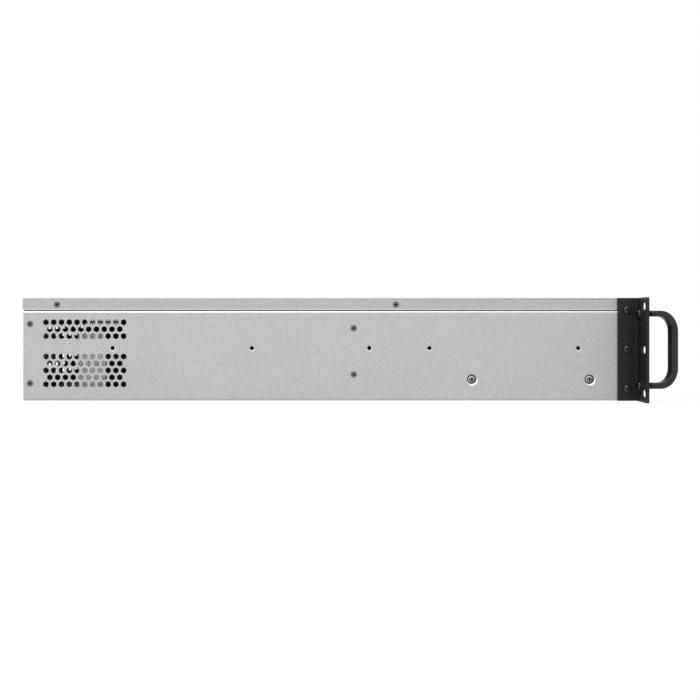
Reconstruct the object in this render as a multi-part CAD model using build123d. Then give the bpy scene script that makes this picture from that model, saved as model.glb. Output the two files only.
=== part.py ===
from build123d import *
import math
import os

# Two-unit rack server without processor, memory or drives. Millimetres: X runs across the server with +X at
# the right seen from the front, Y from front to rear, Z up. The origin is the centre of the floor's underside.

# Chassis body
BODY_WIDTH = 430.0
BODY_HEIGHT = 88.0
BODY_DEPTH = 526.0  # rack plane to the rear edge of the cover
SHEET = 1.0
FOLD_RADIUS = 2.0  # outside radius of a chassis fold
LIP = 10.0  # inward lip on each side wall, which carries the cover

# Top cover and the joggled wall under its flange
COVER_SHEET = 1.0
COVER_FOLD_RADIUS = 1.6
COVER_FLANGE = 10.0
COVER_FLANGE_ROOM = 0.3
COVER_OVERHANG = 0.6
SHOULDER_GAP = 0.9  # open line between the wall's shoulder and the cover's flange
SHOULDER_OUTER_RADIUS = 1.6
SHOULDER_INNER_RADIUS = 0.6

# Honeycomb vents
VENT_ACROSS = 4.75
VENT_PITCH = 6.66
VENT_ROW = 5.95
VENT_COLUMNS = 11
VENT_REAR_INSET = 20.0  # cover's rear edge to the last column
UPPER_VENT_Z = 67.2
UPPER_VENT_ROWS = 3
LOWER_VENT_Z = 37.8
LOWER_VENT_ROWS = 5

# Tapped rail holes, M4, each with a short drawn collar inside
RAIL_HOLE_RADIUS = 1.65
RAIL_COLLAR_RADIUS = 2.5
RAIL_COLLAR = 0.9
RAIL_HOLE_Z = 45.0
RAIL_HOLES_FROM_RACK = (49.8, 177.2, 228.8, 329.4)
RAIL_HOLE_REAR_INSET = 77.2
RAIL_SCREW_ROOM = 4.0  # radius of the clearance hole in the drive cage behind a rail hole

# Flush screws, M3 countersunk
FLUSH_HEAD_RADIUS = 2.75
FLUSH_HEAD_DEPTH = 1.3
FLUSH_LENGTH = 3.6
COVER_SCREW_Z_DROP = 5.7  # below the top of the cover
COVER_SCREW_FROM_RACK = 206.0
COVER_SCREW_REAR_INSET = 29.5
PANEL_SCREW_REAR_INSET = 6.3
PANEL_SCREW_HEIGHTS = (14.7, 65.6)
FAN_SCREW_HEIGHTS = (22.3, 62.0)

# Pan screws, M3
M3_RADIUS = 1.45
M3_HEAD_RADIUS = 2.4
M3_HEAD = 1.6
BOARD_SCREW_LENGTH = 5.0
SCREW_FIT = 0.1  # room all round a screw
PAST = 1.0  # how far a cutting tool runs past the face it opens

# Pressed dimples that hold the drive cage
DIMPLE_RADIUS = 4.4
DIMPLE_FLOOR_RADIUS = 3.0
DIMPLE_DEPTH = 1.2
DIMPLE_Z = 18.1
DIMPLES_FROM_RACK = (39.9, 140.9)

# Rack ears
EAR_SHEET = 2.0
EAR_SIDE = 16.2  # reach of the side plate behind the rack plane
EAR_FLANGE = 24.3  # reach of the flange beyond the side plate
EAR_BEND = 1.0
EAR_CORNER = 1.8
EAR_SLOT_LENGTH = 10.0
EAR_SLOT_HEIGHT = 6.8
EAR_SLOT_SPREAD = 465.1  # centre to centre across the server
EAR_SLOT_SPACING = 36.6  # between neighbouring slots of one ear
M4_RADIUS = 1.95
M4_HEAD_RADIUS = 3.6
M4_HEAD = 2.2
EAR_SCREW_FROM_RACK = 8.4
EAR_SCREW_SPACING = 33.6
EAR_SCREW_LENGTH = 3.9

# Bar handles
HANDLE_BAR = 5.0
HANDLE_WIDTH = 8.0
HANDLE_SPAN = 61.0  # centre to centre of the two legs
HANDLE_REACH = 29.7  # in front of the flange
HANDLE_RADIUS = 15.0  # outer corners
HANDLE_EDGE = 1.0  # bevel along the bar
HANDLE_FROM_EAR = 6.7  # side plate to the middle of the bar
HANDLE_BORE_DEPTH = 9.0
HANDLE_SCREW_LENGTH = 9.0

# Drive cage, hot-swap bays for 3.5 inch drives
BAY_COLUMNS = 4
BAY_ROWS = 2
BAY_HEIGHT = 27.8
CAGE_SHEET = 1.0
CAGE_SETBACK = 1.0
CAGE_REAR = 170.0  # behind the rack plane
CAGE_WINDOW = 70.0
CAGE_WINDOW_INSET = 40.0

# Drive trays
TRAY_CLEARANCE = 0.4
TRAY_WALL = 1.2
TRAY_SIDE = 20.0
TRAY_REAR = 160.0  # behind the rack plane
BEZEL_PROUD = 5.0
BEZEL_DEPTH = 14.0
BEZEL_WALL = 2.0
GRILLE_SLOTS = 9
GRILLE_SLOT = 7.4
GRILLE_PITCH = 9.6
GRILLE_TOP_DROP = 2.4
TRAY_WINDOW = 70.0
TRAY_WINDOW_LENGTH = 50.0
TRAY_WINDOW_GAP = 18.0

# Tray levers
LEVER_HEIGHT = 11.0
LEVER_THICKNESS = 5.0
LEVER_GAP = 0.3
LEVER_LIP = 2.4
LEVER_SIDE_MARGIN = 4.0
LEVER_POCKET_ROOM = 1.0  # behind the lever
LEVER_PIN_RADIUS = 1.2
LEVER_PIN_FIT = 0.05
LEVER_PIN_ENGAGE = 1.4
LEVER_GRIP_RIBS = 4
LEVER_GRIP_RIB = 1.0
LEVER_GRIP_PITCH = 2.4
LEVER_GRIP_DEPTH = 0.6

# Backplane
BACKPLANE = 2.0
BACKPLANE_MARGIN = 2.0
DRIVE_PLUG = (42.0, 6.5, 7.0)
DRIVE_PLUG_LIFT = 3.0
DRIVE_PLUG_GROOVE = (38.0, 2.0)
CABLE_PLUG = (24.0, 9.0, 10.0)
BACKPLANE_WINDOW = (60.0, 9.0)

# Front strip above the bays
STRIP_PROUD = 4.0
STRIP_WALL = 2.0
STRIP_SHELL = 1.5
STRIP_DEPTH = 10.0  # behind the rack plane
STRIP_SIDE_ROOM = 0.5
STRIP_TOP_ROOM = 0.5
STRIP_VENT_COLUMNS = 21
STRIP_VENT_ROWS = 3
STRIP_VENT_FROM_LEFT = 156.0
MEDIA_BAY = (129.0, 13.2)
MEDIA_BAY_FROM_LEFT = 14.0
MEDIA_BAY_DEPTH = 0.8
CONTROL_RISE = 14.0  # above the cage
POWER_RADIUS = 5.4
POWER_FROM_RIGHT = 22.0
RESET_RADIUS = 2.4
RESET_FROM_RIGHT = 38.0
LIGHT_RADIUS = 1.5
LIGHT_COUNT = 4
LIGHT_PITCH = 7.0
LIGHT_FROM_RIGHT = 51.0
LIGHT_LENGTH = 8.0
BUTTON_FIT = 0.3
BUTTON_PROUD = 1.6
BUTTON_TRAVEL = 1.2
BUTTON_COLLAR = 1.0
BUTTON_COLLAR_WIDTH = 1.2
BUTTON_STEM = 4.0
FRONT_PORTS = 2
FRONT_PORT_PITCH = 19.0
FRONT_PORT_FROM_RIGHT = 90.0
USB_WIDTH = 13.2
USB_HEIGHT = 5.8
USB_DEPTH = 14.0
USB_WALL = 0.5
USB_ROOM = 0.3
USB_BACK = 2.0
USB_TONGUE = (10.2, 1.5)
FRONT_BOARD_WIDTH = 112.0
FRONT_BOARD_DEPTH = 34.0
FRONT_BOARD_RIGHT_ROOM = 10.0
FRONT_BOARD_RIB = 2.4
FRONT_BOARD_RIB_WIDTH = 3.0

# Fan wall and fans
FAN_SCREW_FROM_RACK = 242.1
WALL_FLANGE = 13.0  # side flanges of the fan wall and the rear panel
FAN_COUNT = 3
FAN_ROOM = 3.0  # above and below a fan
FAN_THICKNESS = 38.0
FAN_INSET = 30.0
FAN_GAP = 12.0
FAN_RIM = 2.0
FAN_FLANGE = 4.0
FAN_CORNER = 4.0
FAN_HOLE_SPACING_SHARE = 0.894  # 71.5 mm on an 80 mm fan
FAN_HOLE_RADIUS = 2.2
HUB_RADIUS = 16.0
STATOR = 3.0
STRUT = 3.0
STRUT_COUNT = 4
BLADE_COUNT = 5
BLADE_TIP_GAP = 1.0
BLADE_CHORD = 24.0
BLADE_ROOT_PITCH = 52.0
BLADE_TIP_PITCH = 32.0
BLADE_THICKNESS = 1.6
BLADE_CAMBER = 2.4
ROTOR_LENGTH = 30.0
ROTOR_GAP = 0.8
SHAFT_RADIUS = 1.5
SHAFT_FIT = 0.05
SHAFT_LENGTH = 2.6

# Main board
BOARD = 1.6
BOARD_LIFT = 6.5
BOARD_REAR_ROOM = 1.5
BOARD_FRONT_ROOM = 30.0  # between the fan wall's flange and the board
SIDE_AISLE = 36.0  # left wall to the board
POWER_AISLE = 8.0  # power supply cage to the board
BOARD_HOLE_INSET = 7.0
STANDOFF_RADIUS = 3.0
SOCKET = (62.0, 80.0, 6.0)
SOCKET_RIM = 9.0
SOCKET_FROM_RIGHT = 83.0
BOARD_FRONT_MARGIN = 10.0
MEMORY_SLOT = (6.4, 142.0, 9.0)
MEMORY_PITCH = 9.6
MEMORY_PER_BANK = 4
MEMORY_GAP = 8.0
MEMORY_GROOVE = (1.6, 134.0, 6.0)
EXPANSION_SLOT = (7.5, 89.0, 11.0)
EXPANSION_GROOVE = (1.8, 83.0, 8.0)
EXPANSION_REAR = 50.0  # board's rear edge to the slot
HEAT_SINK = (44.0, 32.0)
HEAT_SINK_BASE = 3.0
HEAT_SINK_FINS = 9
HEAT_SINK_FIN = 1.2
HEAT_SINK_FIN_HEIGHT = 12.0
HEAT_SINK_FROM_LEFT = 60.0

# Rear panel openings
APERTURE_WIDTH = 158.75
APERTURE_HEIGHT = 44.45
APERTURE_BOARD_INSET = 5.2
APERTURE_BELOW_BOARD = 2.2
SHIELD = 0.5
SHIELD_MARGIN = 3.0
PORT_ROOM = 0.4
PORT_GAP = 2.4
PORT_FIRST_INSET = 2.0
PORT_DEPTH = 18.0
PORT_PROUD = 0.8
PORT_WALL = 1.2
PORT_CAVITY = 11.0
PORTS = ((31.0, 12.5), (14.6, 16.0), (16.2, 13.6), (16.2, 13.6), (14.6, 16.0), (31.0, 12.5), (16.2, 13.6))
SLOT_PITCH = 20.32
FIRST_SLOT_GAP = 12.4
SLOT_OPENING = 13.6
SLOT_BOTTOM = 12.0
SLOT_TOP_DROP = 17.0
COVER_STRIP = 18.4
COVER_STRIP_SHEET = 0.9
COVER_STRIP_FOOT = 5.0
COVER_STRIP_TOP_DROP = 9.0
COVER_STRIP_TAB = 10.0
STRIP_HOLE = (8.0, 3.2)
STRIP_HOLE_PITCH = 7.0
STRIP_HOLES = 7
REAR_VENT_COLUMNS = 3
REAR_VENT_ROWS = 9
REAR_VENT_INSET = 10.0
REAR_VENT_TOP_DROP = 20.0
PORT_VENT_ROWS = 3
PORT_VENT_TOP_DROP = 12.0
PORT_VENT_MARGIN = 6.0
PANEL_ROOM = 0.3

# Power supplies
SUPPLY_WIDTH = 73.5
SUPPLY_DEPTH = 185.0
SUPPLY_WALL = 1.0
SUPPLY_ROOM = 0.5
SUPPLY_CAGE_SHEET = 0.8
SUPPLY_CAGE_DEPTH = 190.0
SUPPLY_CAGE_SIDE_GAP = 3.0
SUPPLY_CAGE_TOP_DROP = 5.0
SUPPLY_VENT_COLUMNS = 5
SUPPLY_VENT_ROWS = 5
SUPPLY_VENT_CENTRE = -17.0
INLET = (27.0, 19.8)
INLET_DEPTH = 18.0
INLET_WALL = 1.5
INLET_RECESS = 15.0
INLET_PROUD = 0.6
INLET_FROM_MIDDLE = 20.0
INLET_ROOM_SHARE = 0.1875  # of the spare height, below the inlet
INLET_FIT = 0.2
INLET_BLADE = (4.0, 2.0, 10.0)
INLET_BLADE_SPREAD = 7.0
INLET_BLADE_RISE = 3.5
PULL_CENTRE = 2.0
PULL_BAR = 2.6
PULL_WIDTH = 9.0
PULL_SPAN = 24.0
PULL_REACH = 24.0
PULL_RADIUS = 7.0
LATCH_FROM_MIDDLE = 26.0
LATCH_ROOM_SHARE = 0.3625  # of the spare height, above the latch plate
LATCH_TAB = (6.0, 6.0)
LATCH_TAB_REACH = 9.0
LATCH_PLATE = (18.0, 9.0)
LATCH_PLATE_THICKNESS = 1.4
LATCH_TRAVEL = 3.0
LATCH_FIT = 0.3
POWER_BOARD = 1.6
POWER_PLUG = (40.0, 9.0)
POWER_PLUG_GAP = 0.6

# Card bracket close behind the side vents
CARD_BRACKET_INSET = 19.0  # wall's inner face to the bracket
CARD_BRACKET_REAR_INSET = 42.0
CARD_BRACKET_LENGTH = 24.0
CARD_BRACKET_TOP = 57.0
CARD_BRACKET_FOOT = 12.0
HEADER = (3.0, 17.0, 4.4)
HEADER_Z = 30.0
HEADER_WALL = 1.0

# Places worked out from the sizes above
HALF = BODY_WIDTH / 2
RACK = -BODY_DEPTH / 2
REAR = BODY_DEPTH / 2
CHASSIS_REAR = REAR - COVER_OVERHANG
JOGGLE = COVER_SHEET + COVER_FLANGE_ROOM
WALL_INSIDE = HALF - SHEET
UPPER_INSIDE = WALL_INSIDE - JOGGLE
LIP_END = HALF - JOGGLE - LIP
COVER_UNDER = BODY_HEIGHT - COVER_SHEET
FLANGE_BOTTOM = BODY_HEIGHT - COVER_FLANGE
SHOULDER_TOP = FLANGE_BOTTOM - SHOULDER_GAP
SHOULDER_BOTTOM = SHOULDER_TOP - JOGGLE
MIDDLE = BODY_HEIGHT / 2
COVER_FLANGE_FRONT = RACK + EAR_SIDE + COVER_FLANGE_ROOM
EAR_OUTSIDE = HALF + EAR_SHEET
EAR_FRONT = RACK - EAR_SHEET
HANDLE_X = EAR_OUTSIDE + HANDLE_FROM_EAR
CAGE_HALF = WALL_INSIDE - DIMPLE_DEPTH
BAY_WIDTH = (2 * CAGE_HALF - (BAY_COLUMNS + 1) * CAGE_SHEET) / BAY_COLUMNS
CAGE_TOP = SHEET + CAGE_SHEET + BAY_ROWS * (BAY_HEIGHT + CAGE_SHEET)
TRAY_WIDTH = BAY_WIDTH - 2 * TRAY_CLEARANCE
TRAY_HEIGHT = BAY_HEIGHT - 2 * TRAY_CLEARANCE
BEZEL_FRONT = RACK - BEZEL_PROUD
STRIP_FRONT = RACK - STRIP_PROUD
STRIP_HALF = HALF - STRIP_SIDE_ROOM
CONTROL_Z = CAGE_TOP + CONTROL_RISE
FAN_WALL_FRONT = RACK + FAN_SCREW_FROM_RACK - WALL_FLANGE / 2
FAN_SIZE = COVER_UNDER - SHEET - 2 * FAN_ROOM
FAN_BORE = FAN_SIZE / 2 - FAN_RIM
FAN_Z = (COVER_UNDER + SHEET) / 2
FAN_FRONT = FAN_WALL_FRONT - FAN_THICKNESS
PANEL_INSIDE = CHASSIS_REAR - SHEET
SUPPLY_CAGE_RIGHT = WALL_INSIDE - SUPPLY_CAGE_SIDE_GAP
SUPPLY_CAGE_LEFT = SUPPLY_CAGE_RIGHT - SUPPLY_WIDTH - 2 * (SUPPLY_ROOM + SUPPLY_CAGE_SHEET)
SUPPLY_X = (SUPPLY_CAGE_LEFT + SUPPLY_CAGE_RIGHT) / 2
SUPPLY_CAGE_TOP = BODY_HEIGHT - SUPPLY_CAGE_TOP_DROP
SUPPLY_BAY = (SUPPLY_CAGE_TOP - SHEET - 3 * SUPPLY_CAGE_SHEET) / 2
SUPPLY_HEIGHT = SUPPLY_BAY - 2 * SUPPLY_ROOM
SUPPLY_INSIDE = SUPPLY_HEIGHT - 2 * SUPPLY_WALL
SUPPLY_SPARE = SUPPLY_INSIDE - INLET[1] - LATCH_PLATE[1]
INLET_RISE = INLET[1] / 2 + INLET_ROOM_SHARE * SUPPLY_SPARE - SUPPLY_INSIDE / 2
LATCH_RISE = SUPPLY_INSIDE / 2 - LATCH_ROOM_SHARE * SUPPLY_SPARE - LATCH_PLATE[1] / 2
SUPPLY_CAGE_FRONT = PANEL_INSIDE - SUPPLY_CAGE_DEPTH
BOARD_UNDER = SHEET + BOARD_LIFT
BOARD_TOP = BOARD_UNDER + BOARD
BOARD_RIGHT = SUPPLY_CAGE_LEFT - POWER_AISLE
BOARD_LEFT = -WALL_INSIDE + SIDE_AISLE
BOARD_REAR = PANEL_INSIDE - BOARD_REAR_ROOM
BOARD_FRONT = FAN_WALL_FRONT + WALL_FLANGE + BOARD_FRONT_ROOM
APERTURE_RIGHT = BOARD_RIGHT - APERTURE_BOARD_INSET
APERTURE_LEFT = APERTURE_RIGHT - APERTURE_WIDTH
APERTURE_BOTTOM = BOARD_TOP - APERTURE_BELOW_BOARD
FIRST_SLOT_X = APERTURE_LEFT - FIRST_SLOT_GAP
SLOT_COUNT = 1 + int((FIRST_SLOT_X - BOARD_LEFT) / SLOT_PITCH)
SLOT_TOP = BODY_HEIGHT - SLOT_TOP_DROP
FRONT_BOARD_RIGHT = STRIP_HALF - FRONT_BOARD_RIGHT_ROOM
FRONT_BOARD_UNDER = CAGE_TOP + STRIP_SHELL + FRONT_BOARD_RIB
FRONT_BOARD_TOP = FRONT_BOARD_UNDER + BOARD


# Plain helpers

def block(x, y, z):
    """Box between the lowest and highest value given for each axis."""
    spans = (x, y, z)
    centre = [(low + high) / 2 for low, high in spans]
    return Pos(*centre) * Box(*[high - low for low, high in spans])


def around(middle, size):
    """Lowest and highest value of a span centred on middle."""
    return (middle - size / 2, middle + size / 2)


def past(span):
    """The same span, longer by a cutting tool's overshoot at both ends."""
    return (span[0] - PAST, span[1] + PAST)


def rod(radius, length):
    """Cylinder that goes from the origin up Z."""
    return Cylinder(radius, length, align=(Align.CENTER, Align.CENTER, Align.MIN))


def rod_y(x, z, radius, y):
    """Cylinder along Y between the two values of y."""
    return Pos(x, y[1], z) * Rot(90, 0, 0) * rod(radius, y[1] - y[0])


def folded(points, radii, sheet):
    """Section of a folded sheet whose material lies to the left of the given outer line."""
    line = FilletPolyline(*points, radius=radii)
    return make_face(offset(line, amount=sheet, side=Side.LEFT))


def along_y(section, y):
    """Prism of a section drawn in X and Z, between the two values of y."""
    return extrude(Plane.XZ.offset(-y[1]) * section, amount=y[1] - y[0])


def honeycomb(columns, rows):
    """Staggered rows of hexagonal holes: the first hole lies at the origin, the rows run down."""
    hexagon = RegularPolygon(VENT_ACROSS / 2, 6, major_radius=False, rotation=30)
    holes = []
    for row in range(rows):
        shift = VENT_PITCH / 2 * (row % 2)
        for column in range(columns - row % 2):
            holes.append(Pos(shift + column * VENT_PITCH, -row * VENT_ROW) * hexagon)
    return Sketch() + holes


def vent_cut_y(x, z, columns, rows, y):
    """Tool that cuts a honeycomb through a wall square to Y; x and z place its first hole."""
    return Pos(x, 0, z) * along_y(honeycomb(columns, rows), y)


def outward(side, x, y, z):
    """Place on a side wall whose local Z points out of the server; side is -1 or 1."""
    return Pos(side * x, y, z) * Rot(0, 90 * side, 0)


# Screws, each drawn with its seat at the origin and its shank down Z

def flush_screw(room=0.0):
    head = Pos(0, 0, -FLUSH_HEAD_DEPTH / 2) * Cone(M3_RADIUS + room, FLUSH_HEAD_RADIUS + room, FLUSH_HEAD_DEPTH)
    return head + Pos(0, 0, -FLUSH_LENGTH) * rod(M3_RADIUS + room, FLUSH_LENGTH - FLUSH_HEAD_DEPTH / 2)


def pan_screw(radius, head_radius, head, length):
    return rod(head_radius, head) + Pos(0, 0, -length) * rod(radius, length)


def cover_screw_places():
    z = BODY_HEIGHT - COVER_SCREW_Z_DROP
    rows = (RACK + COVER_SCREW_FROM_RACK, REAR - COVER_SCREW_REAR_INSET)
    return [outward(side, HALF, y, z) for side in (-1, 1) for y in rows]


def panel_screw_places():
    y = REAR - PANEL_SCREW_REAR_INSET
    return [outward(side, HALF, y, z) for side in (-1, 1) for z in PANEL_SCREW_HEIGHTS]


def fan_screw_places():
    y = RACK + FAN_SCREW_FROM_RACK
    return [outward(side, HALF, y, z) for side in (-1, 1) for z in FAN_SCREW_HEIGHTS]


def dimple_places():
    return [outward(side, HALF, RACK + d, DIMPLE_Z) for side in (-1, 1) for d in DIMPLES_FROM_RACK]


def rail_hole_places():
    rows = [RACK + d for d in RAIL_HOLES_FROM_RACK] + [REAR - RAIL_HOLE_REAR_INSET]
    return [outward(side, HALF, y, RAIL_HOLE_Z) for side in (-1, 1) for y in rows]


def ear_screw_places():
    y = RACK + EAR_SCREW_FROM_RACK
    heights = [MIDDLE + step * EAR_SCREW_SPACING for step in (-1, 0, 1)]
    return [outward(side, EAR_OUTSIDE, y, z) for side in (-1, 1) for z in heights]


def flush_holes(places):
    return [place * flush_screw(SCREW_FIT) for place in places]


def board_hole_places():
    columns = (BOARD_LEFT + BOARD_HOLE_INSET, (BOARD_LEFT + FIRST_SLOT_X) / 2, BOARD_RIGHT - BOARD_HOLE_INSET)
    rows = (BOARD_FRONT + BOARD_HOLE_INSET, BOARD_REAR - EXPANSION_REAR + BOARD_HOLE_INSET)
    return [(x, y) for x in columns for y in rows]


# Chassis tray: floor and side walls of one folded sheet

def chassis_section(joggle, shoulder):
    """Outer line of floor and walls; the walls step inwards by joggle above the shoulder."""
    top = HALF - joggle
    left = [(-(top - LIP), COVER_UNDER), (-top, COVER_UNDER)]
    if shoulder:
        left += [(-top, SHOULDER_TOP), (-HALF, SHOULDER_BOTTOM)]
    left += [(-HALF, 0)]
    right = [(-x, z) for x, z in reversed(left)]
    shoulder_radii = [SHOULDER_INNER_RADIUS, SHOULDER_OUTER_RADIUS] if shoulder else []
    radii = [FOLD_RADIUS] + shoulder_radii + [FOLD_RADIUS]
    return folded(left + right, radii + radii[::-1], SHEET)


def dimple_shell():
    """Back of a pressed dimple, seen from inside the wall."""
    spread = DIMPLE_RADIUS - DIMPLE_FLOOR_RADIUS
    back = Cone(DIMPLE_FLOOR_RADIUS + SHEET, DIMPLE_FLOOR_RADIUS + SHEET + spread, DIMPLE_DEPTH)
    return Pos(0, 0, -SHEET - DIMPLE_DEPTH / 2) * back


def dimple_recess():
    return Pos(0, 0, -DIMPLE_DEPTH / 2) * Cone(DIMPLE_FLOOR_RADIUS, DIMPLE_RADIUS, DIMPLE_DEPTH)


def screw_bore(radius, length):
    return Pos(0, 0, -length) * rod(radius + SCREW_FIT, length)


def side_vents():
    first = Pos(REAR - VENT_REAR_INSET - (VENT_COLUMNS - 1) * VENT_PITCH, 0)
    upper = Pos(0, UPPER_VENT_Z) * first * honeycomb(VENT_COLUMNS, UPPER_VENT_ROWS)
    lower = Pos(0, LOWER_VENT_Z) * first * honeycomb(VENT_COLUMNS, LOWER_VENT_ROWS)
    wall = Plane.YZ.offset(-HALF - SHEET)
    return extrude(wall * (upper + lower), amount=3 * SHEET)


def chassis_tray():
    ear_end = RACK + EAR_SIDE
    tray = along_y(chassis_section(0, False), (RACK, ear_end))
    tray += along_y(chassis_section(JOGGLE, True), (ear_end, CHASSIS_REAR))
    collar = Pos(0, 0, -SHEET - RAIL_COLLAR) * rod(RAIL_COLLAR_RADIUS, RAIL_COLLAR)
    tray += [place * collar for place in rail_hole_places()]
    tray += [place * dimple_shell() for place in dimple_places()]
    tray -= [place * dimple_recess() for place in dimple_places()]
    cage_bore = screw_bore(M3_RADIUS, DIMPLE_DEPTH + 2 * SHEET)
    tray -= [place * cage_bore for place in dimple_places()]
    rail_bore = Pos(0, 0, -3 * SHEET) * rod(RAIL_HOLE_RADIUS, 3 * SHEET)
    tray -= [place * rail_bore for place in rail_hole_places()]
    ear_bore = screw_bore(M4_RADIUS, EAR_SHEET + 2 * SHEET)
    tray -= [place * ear_bore for place in ear_screw_places()]
    tray -= flush_holes(cover_screw_places() + panel_screw_places() + fan_screw_places())
    return tray - side_vents()


def top_cover():
    line = [(HALF, FLANGE_BOTTOM), (HALF, BODY_HEIGHT), (-HALF, BODY_HEIGHT), (-HALF, FLANGE_BOTTOM)]
    cover = along_y(folded(line, [COVER_FOLD_RADIUS] * 2, COVER_SHEET), (COVER_FLANGE_FRONT, REAR))
    front = block((-HALF, HALF), (RACK, COVER_FLANGE_FRONT), (COVER_UNDER, BODY_HEIGHT))
    return cover + front - flush_holes(cover_screw_places())


# Panels that stand across the chassis

def cross_panel(face, flange):
    """Upright sheet from wall to wall in the span face of Y; its side and top flanges reach over flange."""
    shoulder = SHOULDER_BOTTOM - JOGGLE
    upper = UPPER_INSIDE - PANEL_ROOM
    lip_end = LIP_END - PANEL_ROOM
    panel = block((-WALL_INSIDE, WALL_INSIDE), face, (SHEET, shoulder))
    panel += block((-upper, upper), face, (SHEET, COVER_UNDER - SHEET - PANEL_ROOM))
    panel += block((-lip_end, lip_end), face, (SHEET, COVER_UNDER))
    panel += block((-lip_end, lip_end), flange, (COVER_UNDER - SHEET, COVER_UNDER))
    for side in (-1, 1):
        x = sorted((side * WALL_INSIDE, side * (WALL_INSIDE - SHEET)))
        panel += block(x, flange, (FOLD_RADIUS, shoulder))
        corner = sorted((side * HALF, side * (HALF - FOLD_RADIUS)))
        panel -= block(corner, past(face), (0, FOLD_RADIUS))
    return panel


def slot_centres():
    return [FIRST_SLOT_X - number * SLOT_PITCH for number in range(SLOT_COUNT)]


def rear_panel():
    face = (PANEL_INSIDE, CHASSIS_REAR)
    cut = past(face)
    panel = cross_panel(face, (CHASSIS_REAR - WALL_FLANGE, CHASSIS_REAR))
    aperture_z = (APERTURE_BOTTOM, APERTURE_BOTTOM + APERTURE_HEIGHT)
    openings = [block((APERTURE_LEFT, APERTURE_RIGHT), cut, aperture_z)]
    openings += [block(around(x, SLOT_OPENING), cut, (SLOT_BOTTOM, SLOT_TOP)) for x in slot_centres()]
    bay = (SUPPLY_CAGE_LEFT + SUPPLY_CAGE_SHEET, SUPPLY_CAGE_RIGHT - SUPPLY_CAGE_SHEET)
    openings.append(block(bay, cut, (0, SUPPLY_CAGE_TOP - SUPPLY_CAGE_SHEET)))
    vent_z = BODY_HEIGHT - REAR_VENT_TOP_DROP
    openings.append(vent_cut_y(-WALL_INSIDE + REAR_VENT_INSET, vent_z, REAR_VENT_COLUMNS, REAR_VENT_ROWS, cut))
    over_ports = APERTURE_LEFT + PORT_VENT_MARGIN
    columns = 1 + int((APERTURE_RIGHT - PORT_VENT_MARGIN - over_ports) / VENT_PITCH)
    openings.append(vent_cut_y(over_ports, BODY_HEIGHT - PORT_VENT_TOP_DROP, columns, PORT_VENT_ROWS, cut))
    return panel - openings - flush_holes(panel_screw_places())


def port_spans():
    """Lowest and highest X and Z of each rear port, from the right of the aperture to the left."""
    spans = []
    right = APERTURE_RIGHT - PORT_FIRST_INSET
    for width, height in PORTS:
        spans.append(((right - width, right), (BOARD_TOP, BOARD_TOP + height)))
        right -= width + PORT_GAP
    return spans


def io_shield():
    margin = SHIELD_MARGIN
    y = (PANEL_INSIDE - SHIELD, PANEL_INSIDE)
    width = (APERTURE_LEFT - margin, APERTURE_RIGHT + margin)
    shield = block(width, y, (APERTURE_BOTTOM - margin, APERTURE_BOTTOM + APERTURE_HEIGHT + margin))
    holes = []
    for x, z in port_spans():
        wide = (x[0] - PORT_ROOM, x[1] + PORT_ROOM)
        high = (z[0] - PORT_ROOM, z[1] + PORT_ROOM)
        holes.append(block(wide, past(y), high))
    return shield - holes


def slot_covers():
    """One perforated blanking strip behind each expansion slot opening."""
    top = BODY_HEIGHT - COVER_STRIP_TOP_DROP
    y = (PANEL_INSIDE - COVER_STRIP_SHEET, PANEL_INSIDE)
    strips = []
    for x in slot_centres():
        span = around(x, COVER_STRIP)
        strip = block(span, y, (COVER_STRIP_FOOT, top))
        strip += block(span, (PANEL_INSIDE - COVER_STRIP_TAB, PANEL_INSIDE), (top - COVER_STRIP_SHEET, top))
        for number in range(STRIP_HOLES):
            z = (SLOT_BOTTOM + SLOT_TOP) / 2 + (number - (STRIP_HOLES - 1) / 2) * STRIP_HOLE_PITCH
            strip -= block(around(x, STRIP_HOLE[0]), past(y), around(z, STRIP_HOLE[1]))
        strips.append(strip)
    return strips


# Rack ears and handles

def handle_leg_heights():
    return (MIDDLE - HANDLE_SPAN / 2, MIDDLE + HANDLE_SPAN / 2)


def ear(side):
    """Bent bracket: a side plate on the wall and a flange in front of the rack post."""
    line = [(-EAR_OUTSIDE, RACK + EAR_SIDE), (-EAR_OUTSIDE, RACK), (-EAR_OUTSIDE - EAR_FLANGE, RACK)]
    bracket = extrude(Plane.XY * folded(line, [EAR_BEND], EAR_SHEET), amount=BODY_HEIGHT)
    corners = bracket.edges().filter_by(Axis.Y).group_by(Axis.X)[0]
    bracket = fillet(corners, EAR_CORNER)
    flange = (EAR_FRONT, RACK)
    slot = SlotOverall(EAR_SLOT_LENGTH, EAR_SLOT_HEIGHT)
    for step in (-1, 0, 1):
        place = Pos(-EAR_SLOT_SPREAD / 2, 0, MIDDLE + step * EAR_SLOT_SPACING)
        bracket -= place * along_y(slot, past(flange))
    for z in handle_leg_heights():
        bracket -= rod_y(-HANDLE_X, z, M4_RADIUS + SCREW_FIT, past(flange))
    bore = screw_bore(M4_RADIUS, 2 * EAR_SHEET)
    bracket -= [place * bore for place in ear_screw_places()[:3]]
    return bracket if side < 0 else mirror(bracket, about=Plane.YZ)


def bar_loop(span, reach, bar, radius):
    """Face of a bent bar: two legs from the line x = 0, a grip at x = reach, rounded corners."""
    outer = Pos(reach / 2, 0) * Rectangle(reach, span + bar)
    outer = fillet(outer.vertices().group_by(Axis.X)[-1], radius)
    inner = Pos((reach - bar) / 2, 0) * Rectangle(reach - bar, span - bar)
    inner = fillet(inner.vertices().group_by(Axis.X)[-1], radius - bar)
    return outer - inner


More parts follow.
